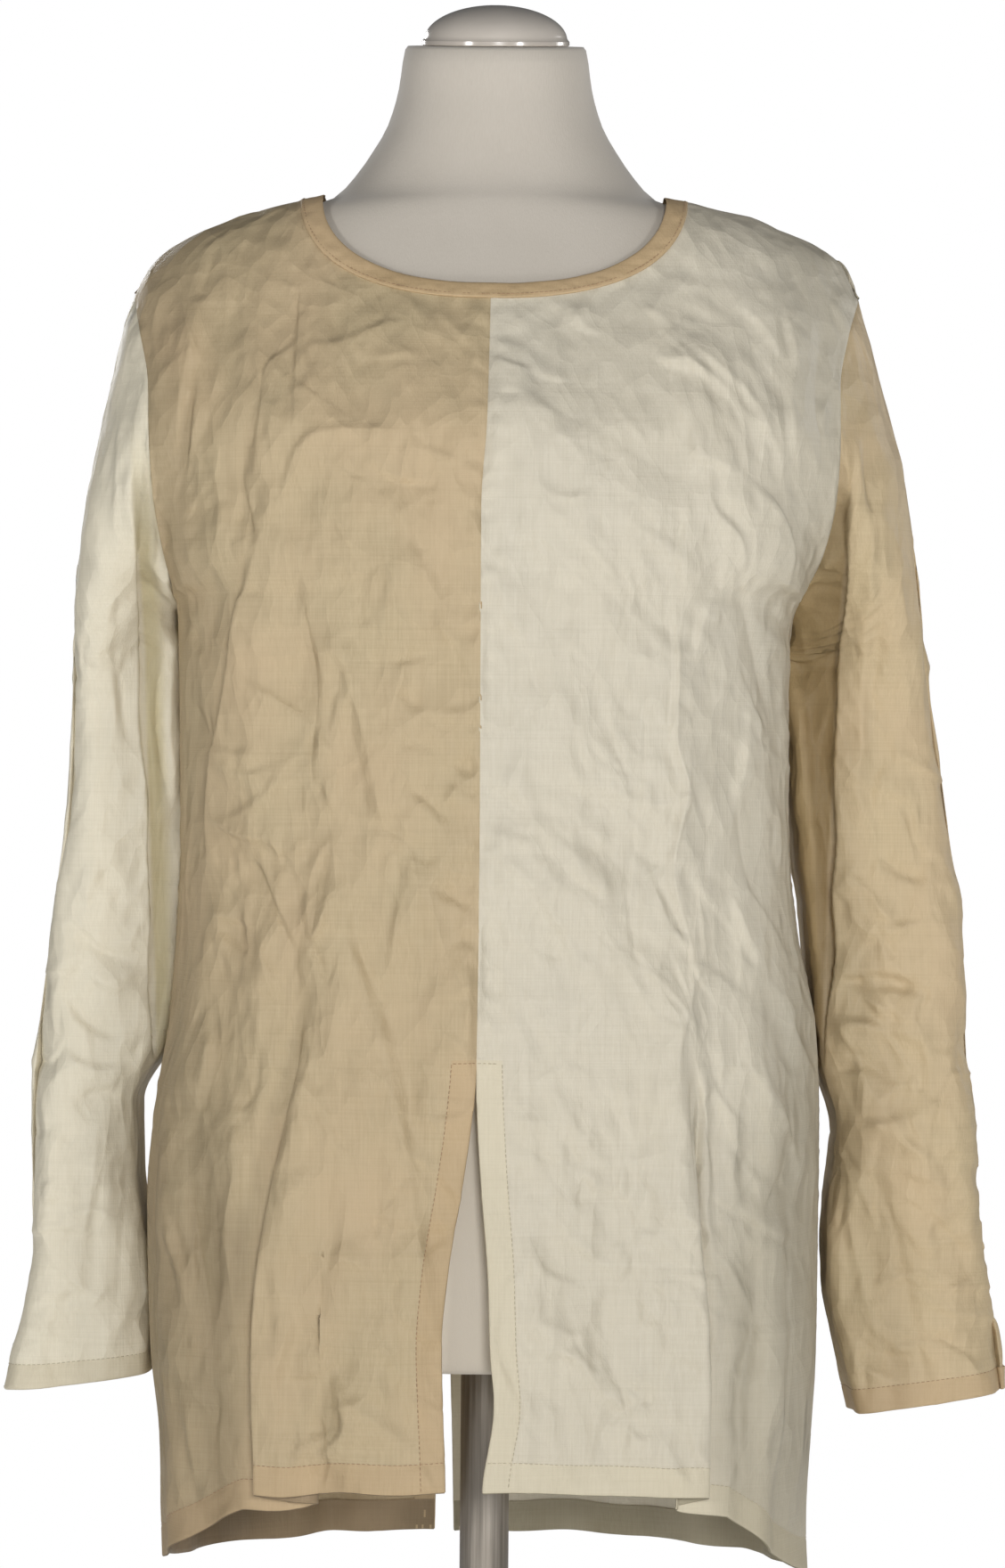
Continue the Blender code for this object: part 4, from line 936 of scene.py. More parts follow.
# thin crisp cotton: threads both ways with thicker ones between, uneven tone, fine crinkles
def voile(name, look):
    material, links, shader = newMaterial(name)
    place = node(material, "TexCoord").outputs["Object"]
    upright = stretchedNoise(material, place, (1300, 1300, 22), detail=2)
    level = stretchedNoise(material, place, (22, 22, 1300), detail=2)
    slub = stretchedNoise(material, place, (420, 420, 9), detail=1)
    slubLevel = stretchedNoise(material, place, (9, 9, 420), detail=1)
    patches = stretchedNoise(material, place, (11, 11, 8), detail=3)
    warmth = stretchedNoise(material, place, (17, 17, 12), detail=2)
    crinkle = stretchedNoise(material, place, (75, 75, 48), detail=4, kind="RIDGED_MULTIFRACTAL")
    facets = facetNoise(material, place, (34, 34, 15))
    smallFacets = facetNoise(material, place, (80, 80, 42))
    facets = blendOf(material, (facets, smallFacets), (1.0, 0.4))
    fineCrinkle = stretchedNoise(material, place, (210, 210, 150), detail=2)

    upright, level = remap(material, upright, 0.3, 0.7, -1, 1), remap(material, level, 0.3, 0.7, -0.7, 0.7)
    threads = math(material, "ADD", upright, level)
    slub, slubLevel = remap(material, slub, 0.58, 0.72, 0, 1), remap(material, slubLevel, 0.60, 0.74, 0, 1)
    thick = math(material, "ADD", slub, slubLevel)
    tone = blendOf(material, (threads, thick), (look["threadTone"], -look["slubTone"]))
    patchy = remap(material, patches, 0.3, 0.7, -look["patchTone"], look["patchTone"])
    tone = math(material, "ADD", math(material, "ADD", tone, patchy), 0.5)

    colour = colourRamp(material, tone, look["deep"], look["pale"], 0.2, 0.8)
    warmer = remap(material, warmth, 0.35, 0.7, 0, look["warmShare"])
    colour = tinted(material, colour, warmer, look["warm"])
    # painted shade down the sides and towards the hem, and inside a sleeve's pressed fold
    if look["shade"]:
        colour = paintedHangingShade(material, place, patches, colour, look)
    if "fold" in look:
        colour = paintedFoldShade(material, place, colour, look)
    links.new(colour, shader.inputs["Base Color"])

    rough = remap(material, patches, 0.3, 0.7, look["roughness"] - 0.05, look["roughness"] + 0.06)
    links.new(rough, shader.inputs["Roughness"])
    shader.inputs["Specular IOR Level"].default_value = 0.32
    shader.inputs["Sheen Weight"].default_value = look["sheen"]
    shader.inputs["Sheen Roughness"].default_value = 0.45
    shader.inputs["Sheen Tint"].default_value = (*look["pale"], 1)

    relief = bump(material, math(material, "ADD", threads, thick), 0.25, 0.00012)
    relief = bump(material, fineCrinkle, 0.5, 0.0006, relief)
    relief = bump(material, crinkle, look["crinkle"], 0.0020, relief)
    relief = bump(material, facets, look["crinkle"], look["pressed"], relief)
    links.new(relief, shader.inputs["Normal"])

    glow = node(material, "BsdfTranslucent")
    links.new(colour, glow.inputs["Color"])
    links.new(relief, glow.inputs["Normal"])
    both = node(material, "MixShader")
    both.inputs["Fac"].default_value = look["sheer"]
    links.new(shader.outputs["BSDF"], both.inputs[1])
    links.new(glow.outputs["BSDF"], both.inputs[2])
    links.new(both.outputs["Shader"], material.node_tree.nodes["Material Output"].inputs["Surface"])
    return material


tanLook = {
    "deep": (0.470, 0.365, 0.215), "pale": (0.640, 0.525, 0.335), "warm": (0.640, 0.475, 0.295),
    "warmShare": 0.45, "threadTone": 0.085, "slubTone": 0.06, "patchTone": 0.07,
    "roughness": 0.56, "sheen": 0.10, "crinkle": 1.0, "sheer": 0.12,
    "shade": 1.0, "paintedShadeTint": (0.70, 0.69, 0.68), "pressed": 0.0048,
}
creamLook = {
    "deep": (0.640, 0.580, 0.450), "pale": (0.805, 0.750, 0.625), "warm": (0.765, 0.695, 0.545),
    "warmShare": 0.3, "threadTone": 0.085, "slubTone": 0.06, "patchTone": 0.06,
    "roughness": 0.54, "sheen": 0.10, "crinkle": 1.0, "sheer": 0.15,
    "shade": 1.0, "paintedShadeTint": (0.72, 0.71, 0.68), "pressed": 0.0040,
}
tanSewn = {**tanLook, "deep": (0.47, 0.34, 0.19), "pale": (0.59, 0.45, 0.27), "sheer": 0.06, "crinkle": 0.35}
creamSewn = {
    **creamLook, "deep": (0.63, 0.56, 0.405), "pale": (0.77, 0.70, 0.54), "sheer": 0.08, "crinkle": 0.35,
}
bindingLook = {
    **tanLook, "deep": (0.46, 0.325, 0.175), "pale": (0.585, 0.435, 0.255), "sheer": 0.03, "crinkle": 0.18,
    "shade": 0,
}
# painted light: the sleeves take paler copies of the body's cloth, the cream clearly, the tan a little; fold
# and its tint set the painted shade in the pressed fold
tanSleeveLook = {
    **tanLook, "pale": (0.65, 0.53, 0.335), "sheer": 0.06, "shade": 0,
    "fold": 0.06, "foldTint": (0.72, 0.66, 0.54),
}
creamSleeveLook = {
    **creamLook, "deep": (0.69, 0.63, 0.48), "pale": (0.87, 0.81, 0.66), "sheer": 0.08, "shade": 0,
    "fold": 0.007, "foldTint": (0.90, 0.875, 0.73),
}
# painted shade: the hems' insides are much darker copies of the doubled cloth, for the shadow they lie in
# behind the front hems
shadedHemInsides = {
    "tan": voile("tan hem inside painted shade", {**tanSewn, "deep": (0.20, 0.14, 0.08), "pale": (0.31, 0.235, 0.14)}),
    "cream": voile(
        "cream hem inside painted shade", {**creamSewn, "deep": (0.29, 0.25, 0.165), "pale": (0.43, 0.385, 0.27)}),
}
bindingVoile = voile("tan bias binding", bindingLook)


def threadMaterial(name, colour):
    material, links, shader = newMaterial(name)
    place = node(material, "TexCoord").outputs["Object"]
    twist = stretchedNoise(material, place, (1800, 1800, 900), detail=1)
    thread = colourRamp(material, twist, [c * 0.72 for c in colour], colour)
    links.new(thread, shader.inputs["Base Color"])
    shader.inputs["Roughness"].default_value = 0.55
    shader.inputs["Sheen Weight"].default_value = 0.2
    links.new(bump(material, twist, 0.4, 0.0001), shader.inputs["Normal"])
    return material


tanThread = threadMaterial("tan thread", (0.42, 0.26, 0.14))
creamThread = threadMaterial("cream thread", (0.58, 0.50, 0.35))

# single cloth, doubled cloth, thread and slot
cloths = {
    "tan": (
        voile("tan voile", tanLook), voile("tan voile doubled", tanSewn),
        tanThread, "tan_voile"),
    "cream": (
        voile("cream voile", creamLook), voile("cream voile doubled", creamSewn),
        creamThread, "cream_voile"),
    "tanSleeve": (
        voile("tan sleeve voile", tanSleeveLook), voile("tan sleeve hem", {**tanSewn, "shade": 0}),
        tanThread, "tan_voile"),
    "creamSleeve": (
        voile("cream sleeve voile", creamSleeveLook), voile("cream sleeve hem", {**creamSewn, "shade": 0}),
        creamThread, "cream_voile"),
}
print("cloth materials ready")

panels = {
    "front": {"above": 150, "below": 246, "columns": 216},
    "back": {"above": 126, "below": 210, "columns": 176},
    "bandRows": 8, "bandColumns": 10, "hemShare": 0.9675, "bandAlong": 0.047, "turnGap": 0.0011,
    "across": 290,  # mm from the centre edge to the side seam
    "cloth": {"frontRight": "tan", "backRight": "tan", "frontLeft": "cream", "backLeft": "cream"},
    "flat": {"front": (0.30, 0.72), "back": (0.30, 0.76)},
}


def panelAlong(name, face):
    even = np.linspace(0, 1, panels[faceName(face)]["columns"] - panels["bandColumns"] + 1)
    for fold in hangingFolds[name]:
        if fold[6]:
            shift = np.sin(2 * pi * (even - fold[1])) + sin(2 * pi * fold[1])
            even = even - 0.62 / (2 * pi) * shift
    band = panels["bandAlong"]
    along = np.concatenate([np.linspace(0, band, panels["bandColumns"] + 1), band + (1 - band) * even[1:]])
    along[np.abs(along - neck["share"]).argmin()] = neck["share"]
    return along


# little puckers that a line of stitching draws up beside itself
def puckers(run, away, seed, tall=0.28):
    return tall * waveField(run, away * 0.3, 9, seed) * (away / 3) * np.exp(1 - away / 3)


# 1 for plain cloth, less where a large fold lays the panel over itself
def overlapCalm(x, z):
    steps = np.abs(np.gradient(x, axis=1))
    spread = steps / np.median(steps, axis=1, keepdims=True)
    calm = (1 - ease((spread - 0.15) / 0.45)) * ease((1000 - z) / 60)
    for _ in range(30):
        calm[:, 1:-1] = (calm[:, :-2] + 2 * calm[:, 1:-1] + calm[:, 2:]) / 4
    return 1 - 0.8 * np.minimum(calm * 1.4, 1)


# how far a panel's points move out of it and up, in mm: creases, puckers at seams and a hem that sways
def panelRelief(name, points, along, bandRow, seed):
    x, z = points[..., 0] * 1000, points[..., 2] * 1000
    fromTop = z[0] - z
    nearTop = points[:40].reshape(-1, 1, 3) - points[0][None]
    fromTop[:40] = np.linalg.norm(nearTop, axis=2).min(axis=1).reshape(40, -1) * 1000
    fromCentre = np.broadcast_to(along * panels["across"], z.shape)
    fromSide = panels["across"] - fromCentre
    sewn = ease((z / 1000 - slitTop + 0.02) / 0.02)  # 1 where the centre is a seam
    held = ease(fromSide / 8) * ease(fromTop / 10) * (1 - sewn * (1 - ease(fromCentre / 5)))
    underSleeve = 0.55 + 0.45 * ease((fromSide - 8) / 40)
    heights = creaseHeights(name, x, z, seed) * overlapCalm(x, z)
    heights *= held * np.where(z < underarm * 1000, underSleeve, 1)
    heights += sewn * puckers(z, fromCentre, seed + 7) + puckers(z, fromSide, seed + 8)
    hang = ease((90 - z + z[-1]) / 90)
    heights += hang * 1.4 * waveField(x, z * 0.2, 75, seed + 9) * ease(fromSide / 30)
    heights[bandRow] -= 0.3
    limit = -0.7 - 2.6 * ease((1330 - z) / 90)  # kept off the shoulders below
    sway = hang * 0.8 * waveField(x, 0 * x, 60, seed + 10) * ease(fromSide / 20)
    return np.maximum(heights, limit), sway


# the outer face with its top and hem turned under, then the turned centre edge and side seam
def panelGrids(points, normals, bandRow):
    gap, band = panels["turnGap"], panels["bandColumns"]
    rows, last = len(points), points.shape[1] - 1
    top = turnedUnder(points, normals, list(range(0, 4)), gap * 0.6)
    hem = turnedUnder(points, normals, list(range(rows - 1, bandRow - 1, -1)), gap)
    numbers = np.zeros((rows - 1, last))  # 0 single cloth, 1 doubled, 2 the hem's inside, in painted shade
    numbers[bandRow:] = 1
    numbers[points[:-1, 0, 2] < slitTop, :band] = 1
    whole = np.concatenate([top[::-1], points, hem])
    numbers = np.concatenate([np.zeros((len(top), last)), numbers, np.full((len(hem), last), 2)])
    turned = points.swapaxes(0, 1), normals.swapaxes(0, 1)
    centre = turnedUnder(*turned, list(range(0, band + 1)), gap)
    centre = np.concatenate([turned[0][:1], centre])[::-1].swapaxes(0, 1)
    seam = turnedUnder(*turned, list(range(last, last - 4, -1)), gap * 0.6)
    seam = np.concatenate([turned[0][-1:], seam]).swapaxes(0, 1)
    return [(whole, numbers), (centre, 1), (seam, 0)]


def panelStitches(name, points, normals, bandRow, thread):
    column = panels["bandColumns"]
    low = np.flatnonzero(points[:, column, 2] < slitTop - 0.001)
    lines = [np.s_[bandRow], np.s_[low, column], np.s_[low[0], : column + 1]]  # hem, slit edge, slit top
    paths = [(points[line] + normals[line] * 0.0001, normals[line]) for line in lines]
    return sewStitches(name + "Stitches", paths, thread)


def makePanel(side, face, seed):
    name, counts = panelName(side, face), panels[faceName(face)]
    along, share = panelAlong(name, face), panels["hemShare"]
    toBand, band = np.linspace(0, share, counts["below"] + 1), np.linspace(share, 1, panels["bandRows"] + 1)
    downAbove, downBelow = np.linspace(0, 1, counts["above"] + 1), np.concatenate([toBand, band[1:]])
    bandRow = counts["above"] + counts["below"]
    points = panelSurface(side, face, along, downAbove, downBelow)
    normals = gridNormals(points)
    flip = (normals[-1, 0, 1] > 0) != (face == back)
    outward = -1 if flip else 1
    heights, sway = panelRelief(name, points, along, bandRow, seed)
    points = points + normals * outward * heights[..., None] / 1000
    points[..., 2] += sway / 1000
    normals = gridNormals(points) * outward

    kind = panels["cloth"][name]
    single, double, thread, slotName = cloths[kind]
    materials = [single, double, shadedHemInsides[kind]]
    piece = meshFromGrids(name, panelGrids(points, normals, bandRow), materials, flip=flip)
    declare(piece, faceName(face) + "_" + sideName(side))
    stitches = declare(panelStitches(name, points, normals, bandRow, thread), None)
    return points, normals, along


grids = {}
for number, (side, face) in enumerate(((right, front), (left, front), (right, back), (left, back))):
    grids[side, face] = makePanel(side, face, 11 + 100 * number)
    print("panel", panelName(side, face), "made")

sleeves = {
    "headRows": 42, "rows": 270, "around": 168, "turnGap": 0.0010,
    "cloth": {right: "cream", left: "tan"}, "flat": (0.31, 0.50),
    # the pressed fold down the front of a sleeve: heights and how far out it runs, all in mm, and
    # what lies between it and the body: how deep, and how much of that a second fold takes back
    "foldHeight": (960, 1265), "foldOut": {right: (188, 197.5), left: (187.5, 198)},
    "foldDepth": {right: 13.0, left: 15.0}, "foldBack": {right: 0.9, left: 0.1},
    "square": 3.2, "slant": 0.2,  # how square the pressed front is, and how much of its slant is left
    "gather": {"height": 1201, "spread": 15, "reach": 190, "deep": 0.0065},  # drawn in under the arm
}


# the front of a pressed sleeve lies flat towards the viewer, the back stays round
def pressFlat(points):
    out, depth = np.abs(points[..., 0]), points[..., 1]
    ends = np.arange(len(points))
    inner, outer = depth[ends, out.argmin(axis=1)][:, None], depth[ends, out.argmax(axis=1)][:, None]
    low, high = out.min(axis=1, keepdims=True), out.max(axis=1, keepdims=True)
    across = np.clip(2 * (out - low) / (high - low) - 1, -1, 1)
    middle = (inner + outer) / 2 + (outer - inner) / 2 * across
    chord = depth - middle
    half = np.abs(chord).max(axis=1, keepdims=True)
    square = (1 - np.abs(across) ** sleeves["square"]) ** (1 / sleeves["square"])
    flat = (inner + outer) / 2 + sleeves["slant"] * (outer - inner) / 2 * across - half * square
    outside = ease(across)
    share = ease((0.55 * outside - chord / half) / (0.5 + 0.2 * outside))
    points[..., 1] += share * ease((ends[:, None] - 12) / 55) * (flat - depth)


# how deep a sleeve's pressed fold lies between it and the body, in mm
def foldRecess(side, x, z, normals, seed):
    foldLine = np.interp(z, sleeves["foldHeight"], sleeves["foldOut"][side])
    within = foldLine + 1.5 * waveField(z, 0 * z, 90, seed + 12) - np.abs(x)
    secondFold = sleeves["foldBack"][side] * ease((within - 9) / 8) * ease((z - 1075) / 50)
    recess = ease(within / 2.4) * (1 - secondFold)
    recess *= ease((1300 - z) / 60) * ease((z - 925) / 60) * ease(-normals[..., 1] * 1.4 - 0.1)
    return sleeves["foldDepth"][side] * recess


def drawnIn(x, z, y, run):
    gather = sleeves["gather"]
    drawn = np.exp(-(((z - gather["height"]) / gather["spread"]) ** 2)) * ease(run / 6)
    return gather["deep"] * drawn * ease((gather["reach"] - np.abs(x)) / 18) * ease((45 - y) / 20)


def sleeveRelief(side, name, points, normals, run, seed):
    x, y, z = (points[..., axis] * 1000 for axis in range(3))
    ahead = ease(0.5 - 1.1 * normals[..., 1])
    heights = creaseHeights(name, x, z, seed) * ahead
    heights += creaseHeights(name, x, z + 37, seed + 500) * 0.85 * (1 - ahead)
    inward = ease(-normals[..., 0] * side * 1.6 - 0.2)  # the side that faces the body
    heights *= ease(run / 9) * np.where(heights > 0, 1 - 0.8 * inward, 1 - 0.2 * inward)
    heights += puckers(z + x, run, seed + 7)
    heights += waveField(x * 1.5, y * 1.5, 70, seed + 9) * ease((70 - run[-1] + run) / 70)
    return heights - foldRecess(side, x, z, normals, seed)


def makeSleeve(side, seed):
    name = "sleeve" + sideName(side).capitalize()
    points = sleeveSurface(side, sleeves["headRows"], sleeves["rows"], sleeves["around"])
    pressFlat(points)
    normals = gridNormals(points, closed=True)
    flip = normals[-1, 0, 0] * side < 0
    outward = -1 if flip else 1
    normals = normals * outward
    steps = np.linalg.norm(np.diff(points, axis=0), axis=2) * 1000
    run = np.concatenate([np.zeros((1, points.shape[1])), np.cumsum(steps, axis=0)])
    heights = sleeveRelief(side, name, points, normals, run, seed)
    bandRow = len(points) - 7
    heights[bandRow] -= 0.3
    x, y, z = (points[..., axis] * 1000 for axis in range(3))
    points[..., 0] -= side * drawnIn(x, z, y, run)
    points = points + normals * heights[..., None] / 1000
    normals = gridNormals(points, closed=True) * outward

    gap = sleeves["turnGap"]
    head = turnedUnder(points, normals, list(range(0, 4)), gap * 0.6)
    cuff = turnedUnder(points, normals, list(range(len(points) - 1, bandRow - 1, -1)), gap)
    whole = np.concatenate([head[::-1], points, cuff])
    numbers = np.zeros((len(whole) - 1, points.shape[1]))
    numbers[len(head) + bandRow:] = 1
    single, double, thread, slotName = cloths[sleeves["cloth"][side] + "Sleeve"]
    piece = meshFromGrids(name, [(whole, numbers)], [single, double], closed=True, flip=flip)
    declare(piece, "sleeve_" + sideName(side))
    ring = np.concatenate([points[bandRow], points[bandRow][:1]])
    ringNormals = np.concatenate([normals[bandRow], normals[bandRow][:1]])
    stitches = sewStitches(name + "Stitches", [(ring + ringNormals * 0.0001, ringNormals)], thread)
    declare(stitches, None)


for number, side in enumerate((right, left)):
    makeSleeve(side, 611 + 100 * number)
print("sleeves made")

binding = {
    "around": 110, "across": 9, "proud": 0.0009, "edge": 0.0011, "inside": 0.009, "overSeam": 0.0010,
    "crown": 0.35, "ripple": 0.22, "drag": 0.15,  # mm
    "flat": (0.025, 0.66),
}


# the panels' neck edges and the binding's inner edge, all the way round from the centre front
def neckLoop():
    edge, normals, inner = [], [], []
    parts = np.linspace(0, 1, binding["around"] + 1)
    quarters = ((left, front, True), (left, back, False), (right, back, True), (right, front, False))
    for side, face, climbs in quarters:
        points, panelNormals, along = grids[side, face]
        order = parts[:-1] if climbs else parts[:0:-1]
        columns = along[along <= neck["share"]] / neck["share"]
        for source, target in ((points[0], edge), (panelNormals[0], normals)):
            read = [np.interp(order, columns, source[: len(columns), axis]) for axis in range(3)]
            target.append(np.stack(read, axis=-1))
        upper = neckPoints(side, face, order, inner=True)
        inner.append(upper * [side, 1, 1] + [0, body["middle"], 0])
    return np.concatenate(edge), unit(np.concatenate(normals)), np.concatenate(inner)


# turns a band's faces outwards, away from a point inside
def fixOutward(piece, inside):
    mesh = piece.data
    total = sum((Vector(p.center) - inside).dot(p.normal) * p.area for p in mesh.polygons)
    if total < 0:
        mesh.flip_normals()


def makeBinding(seed=77):
    edge, normals, upper = neckLoop()
    for _ in range(12):
        normals = unit(np.roll(normals, 1, axis=0) + 2 * normals + np.roll(normals, -1, axis=0))
    steps = np.linalg.norm(np.diff(edge, axis=0), axis=1)
    around = np.concatenate([[0], np.cumsum(steps)]) * 1000
    inward = unit(upper - edge)
    lower = edge - inward * binding["overSeam"]
    rows = []
    for part in np.linspace(0, 1, binding["across"]):
        crown = binding["crown"] * sin(pi * part) ** 0.6
        ripple = binding["ripple"] * waveField(around + 9 * part, 0 * around + 12 * part, 11, seed)
        ripple *= sin(pi * min(part * 1.2, 1))
        drag = binding["drag"] * waveField(around - 14 * part, 0 * around, 23, seed + 1)
        lift = binding["proud"] + (crown + ripple + drag) / 1000
        rows.append(lower + (upper - lower) * part + normals * lift[:, None])
    outer = rows[-1]
    for angle in (50, 90, 130, 180):
        turn = radians(angle)
        rows.append(outer + (inward * sin(turn) - normals * (1 - cos(turn))) * binding["edge"])
    inside = rows[-1]
    for part in (0.25, 0.5, 0.75, 1.0):
        rows.append(inside - inward * binding["inside"] * part)
    start = [lower - normals * 0.0001]
    band = np.array(start + rows)
    piece = meshFromGrids("neckBinding", [(band, 0)], [bindingVoile], closed=True, flip=False, wall=0.0005)
    fixOutward(piece, Vector((0, body["middle"], 1.2)))
    declare(piece, "neck_binding")
    along = lower + inward * 0.0022 + normals * (binding["proud"] + 0.00035)
    closedPath = np.concatenate([along, along[:1]])
    closedNormals = np.concatenate([normals, normals[:1]])
    stitches = sewStitches("neckBindingStitches", [(closedPath, closedNormals)], tanThread, pitch=0.0026)
    declare(stitches, None)


makeBinding()
print("binding made")

formSections = table("height halfWidth front back middle tilt", [
    (0.7930, 0.1540, 0.1010, 0.1090, 0.004, 0),
    (0.7960, 0.1570, 0.1040, 0.1120, 0.004, 0),
    (0.8600, 0.1620, 0.1120, 0.1190, 0.004, 0),
    (0.9300, 0.1590, 0.1130, 0.1200, 0.004, 0),
    (1.0000, 0.1450, 0.1040, 0.1080, 0.004, 0),
    (1.0800, 0.1280, 0.0900, 0.0860, 0.004, 0),
    (1.1600, 0.1380, 0.1020, 0.0900, 0.004, 0),
    (1.2200, 0.1500, 0.1180, 0.0980, 0.004, 0),
    (1.2900, 0.1620, 0.1270, 0.1030, 0.004, 0),
    (1.3400, 0.1730, 0.1100, 0.1030, 0.004, 0),
    (1.3650, 0.1850, 0.0990, 0.1010, 0.004, 0),
    (1.3865, 0.1905, 0.0905, 0.0985, 0.004, 0),
    (1.4005, 0.1825, 0.0850, 0.0945, 0.004, 0),
    (1.4130, 0.1655, 0.0800, 0.0895, 0.004, 0),
    (1.4215, 0.1475, 0.0770, 0.0855, 0.004, 0),
    (1.4275, 0.1315, 0.0750, 0.0820, 0.004, 0),
    (1.4313, 0.1165, 0.0735, 0.0790, 0.004, 0),
    (1.4341, 0.1020, 0.0712, 0.0752, 0.003, 0),
    (1.4380, 0.0915, 0.0675, 0.0705, 0.001, 1),
    (1.4510, 0.0785, 0.0615, 0.0635, -0.001, 3),
    (1.4660, 0.0680, 0.0575, 0.0580, -0.003, 5),
    (1.4800, 0.0600, 0.0550, 0.0545, -0.005, 7),
    (1.5000, 0.0540, 0.0515, 0.0510, -0.008, 9),
    (1.5220, 0.0505, 0.0490, 0.0485, -0.011, 9.5),
    (1.5240, 0.0490, 0.0475, 0.0470, -0.011, 9.5),
])
form = {"power": 2.3, "around": 144, "rowHeight": 0.006}


def formRing(height):
    read = {name: float(smoothRead(formSections, name, height)) for name in formSections}
    turn = np.arange(form["around"]) * 2 * pi / form["around"]
    power = 2 / form["power"]
    out = np.sign(np.cos(turn)) * np.abs(np.cos(turn)) ** power * read["halfWidth"]
    depth = np.where(np.sin(turn) < 0, read["front"], read["back"])
    deep = np.sign(np.sin(turn)) * np.abs(np.sin(turn)) ** power * depth
    return np.stack([out, read["middle"] + deep, height + deep * tan(radians(read["tilt"]))], axis=-1)


# rings of points closed by flat ends
def loftMesh(name, rings, material, sharpDegrees=40):
    bm = bmesh.new()
    loops = [[bm.verts.new(p) for p in ring] for ring in rings]
    count = len(loops[0])
    for lower, upper in zip(loops, loops[1:]):
        for c in range(count):
            n = (c + 1) % count
            bm.faces.new((lower[c], lower[n], upper[n], upper[c]))
    bm.faces.new(loops[0][::-1])
    bm.faces.new(loops[-1])
    bmesh.ops.recalc_face_normals(bm, faces=bm.faces[:])
    mesh = bpy.data.meshes.new(name)
    bm.to_mesh(mesh)
    bm.free()
    mesh.shade_smooth()
    mesh.set_sharp_from_angle(angle=radians(sharpDegrees))
    mesh.materials.append(material)
    return addObject(name, mesh)


def turnedMesh(name, profile, material, around=96):
    turn = np.arange(around) * 2 * pi / around
    rings = [np.stack([r * np.cos(turn), r * np.sin(turn), np.full(around, h)], axis=-1) for r, h in profile]
    return loftMesh(name, rings, material)


def jersey():
    material, links, shader = newMaterial("form jersey")
    place = node(material, "TexCoord").outputs["Object"]
    ribs = stretchedNoise(material, place, (1500, 1500, 260), detail=1)
    pills = stretchedNoise(material, place, (320, 320, 320), detail=3)
    worn = stretchedNoise(material, place, (14, 14, 10), detail=3)
    tone = blendOf(material, (ribs, worn), (0.35, 0.65))
    colour = colourRamp(material, tone, (0.54, 0.49, 0.42), (0.61, 0.56, 0.49), 0.25, 0.75)
    height = axesOf(material, place)[2]
    paintedSlitLight = remap(material, height, 1.15, 0.98, 0, 1)  # painted light: paler below, where the form lies in the shade inside the slit
    links.new(tinted(material, colour, paintedSlitLight, (0.84, 0.77, 0.66)), shader.inputs["Base Color"])
    shader.inputs["Roughness"].default_value = 0.9
    shader.inputs["Specular IOR Level"].default_value = 0.25
    shader.inputs["Sheen Weight"].default_value = 0.25
    shader.inputs["Sheen Roughness"].default_value = 0.5
    knit = bump(material, math(material, "ADD", ribs, pills), 0.35, 0.0003)
    links.new(knit, shader.inputs["Normal"])
    return material


def makeForm():
    keys = formSections["height"]
    levels = [keys[0]]
    for low, high in zip(keys, keys[1:]):
        steps = max(1, int((high - low) / form["rowHeight"]))
        levels += [low + (high - low) * (k + 1) / steps for k in range(steps)]
    torso = loftMesh("torso", [formRing(level) for level in levels], jersey(), sharpDegrees=60)
    return declare(torso, "form_torso")


def glossMaterial(name, deep, pale, roughness, coat):
    material, links, shader = newMaterial(name)
    place = node(material, "TexCoord").outputs["Object"]
    haze = stretchedNoise(material, place, (40, 40, 40), detail=4)
    scuffs = stretchedNoise(material, place, (260, 900, 500), detail=2)
    links.new(colourRamp(material, haze, deep, pale), shader.inputs["Base Color"])
    links.new(remap(material, scuffs, 0.35, 0.75, roughness, roughness + 0.12), shader.inputs["Roughness"])
    shader.inputs["Coat Weight"].default_value = coat
    shader.inputs["Coat Roughness"].default_value = 0.12
    links.new(bump(material, haze, 0.12, 0.0002), shader.inputs["Normal"])
    return material


def steelMaterial(name, deep, pale, roughness):
    material, links, shader = newMaterial(name)
    place = node(material, "TexCoord").outputs["Object"]
    brushed = stretchedNoise(material, place, (700, 700, 14), detail=3)
    stains = stretchedNoise(material, place, (30, 30, 12), detail=4)
    wear = blendOf(material, (brushed, stains), (0.6, 0.4))
    links.new(colourRamp(material, wear, deep, pale, 0.3, 0.7), shader.inputs["Base Color"])
    shader.inputs["Metallic"].default_value = 1
    rough = remap(material, brushed, 0.3, 0.7, roughness - 0.06, roughness + 0.1)
    links.new(rough, shader.inputs["Roughness"])
    links.new(bump(material, brushed, 0.2, 0.0001), shader.inputs["Normal"])
    return material


cap = {"radius": 0.0412, "height": 0.0225, "lip": 0.003, "level": 1.5243, "middle": -0.011, "tilt": 9.5}
stand = {
    "postRadius": 0.0137, "baseRadius": 0.18, "baseThickness": 0.006, "bossRadius": 0.032, "bossHeight": 0.022,
}


def makeCap():
    r, lip = cap["radius"], cap["lip"]
    profile = [(r - 0.0006, 0), (r, 0.0006), (r, lip - 0.0005), (r - 0.0005, lip)]
    for step in range(1, 26):
        lift = step / 26 * pi / 2
        profile.append((r * 0.97 * cos(lift), lip + (cap["height"] - lip) * sin(lift)))
    gloss = glossMaterial("glossy cap", (0.58, 0.525, 0.46), (0.72, 0.66, 0.59), 0.16, 0.6)
    piece = turnedMesh("neckCap", profile, gloss)
    piece.location = (0, cap["middle"], cap["level"])
    piece.rotation_euler.x = radians(cap["tilt"])
    return declare(piece, "neck_cap")


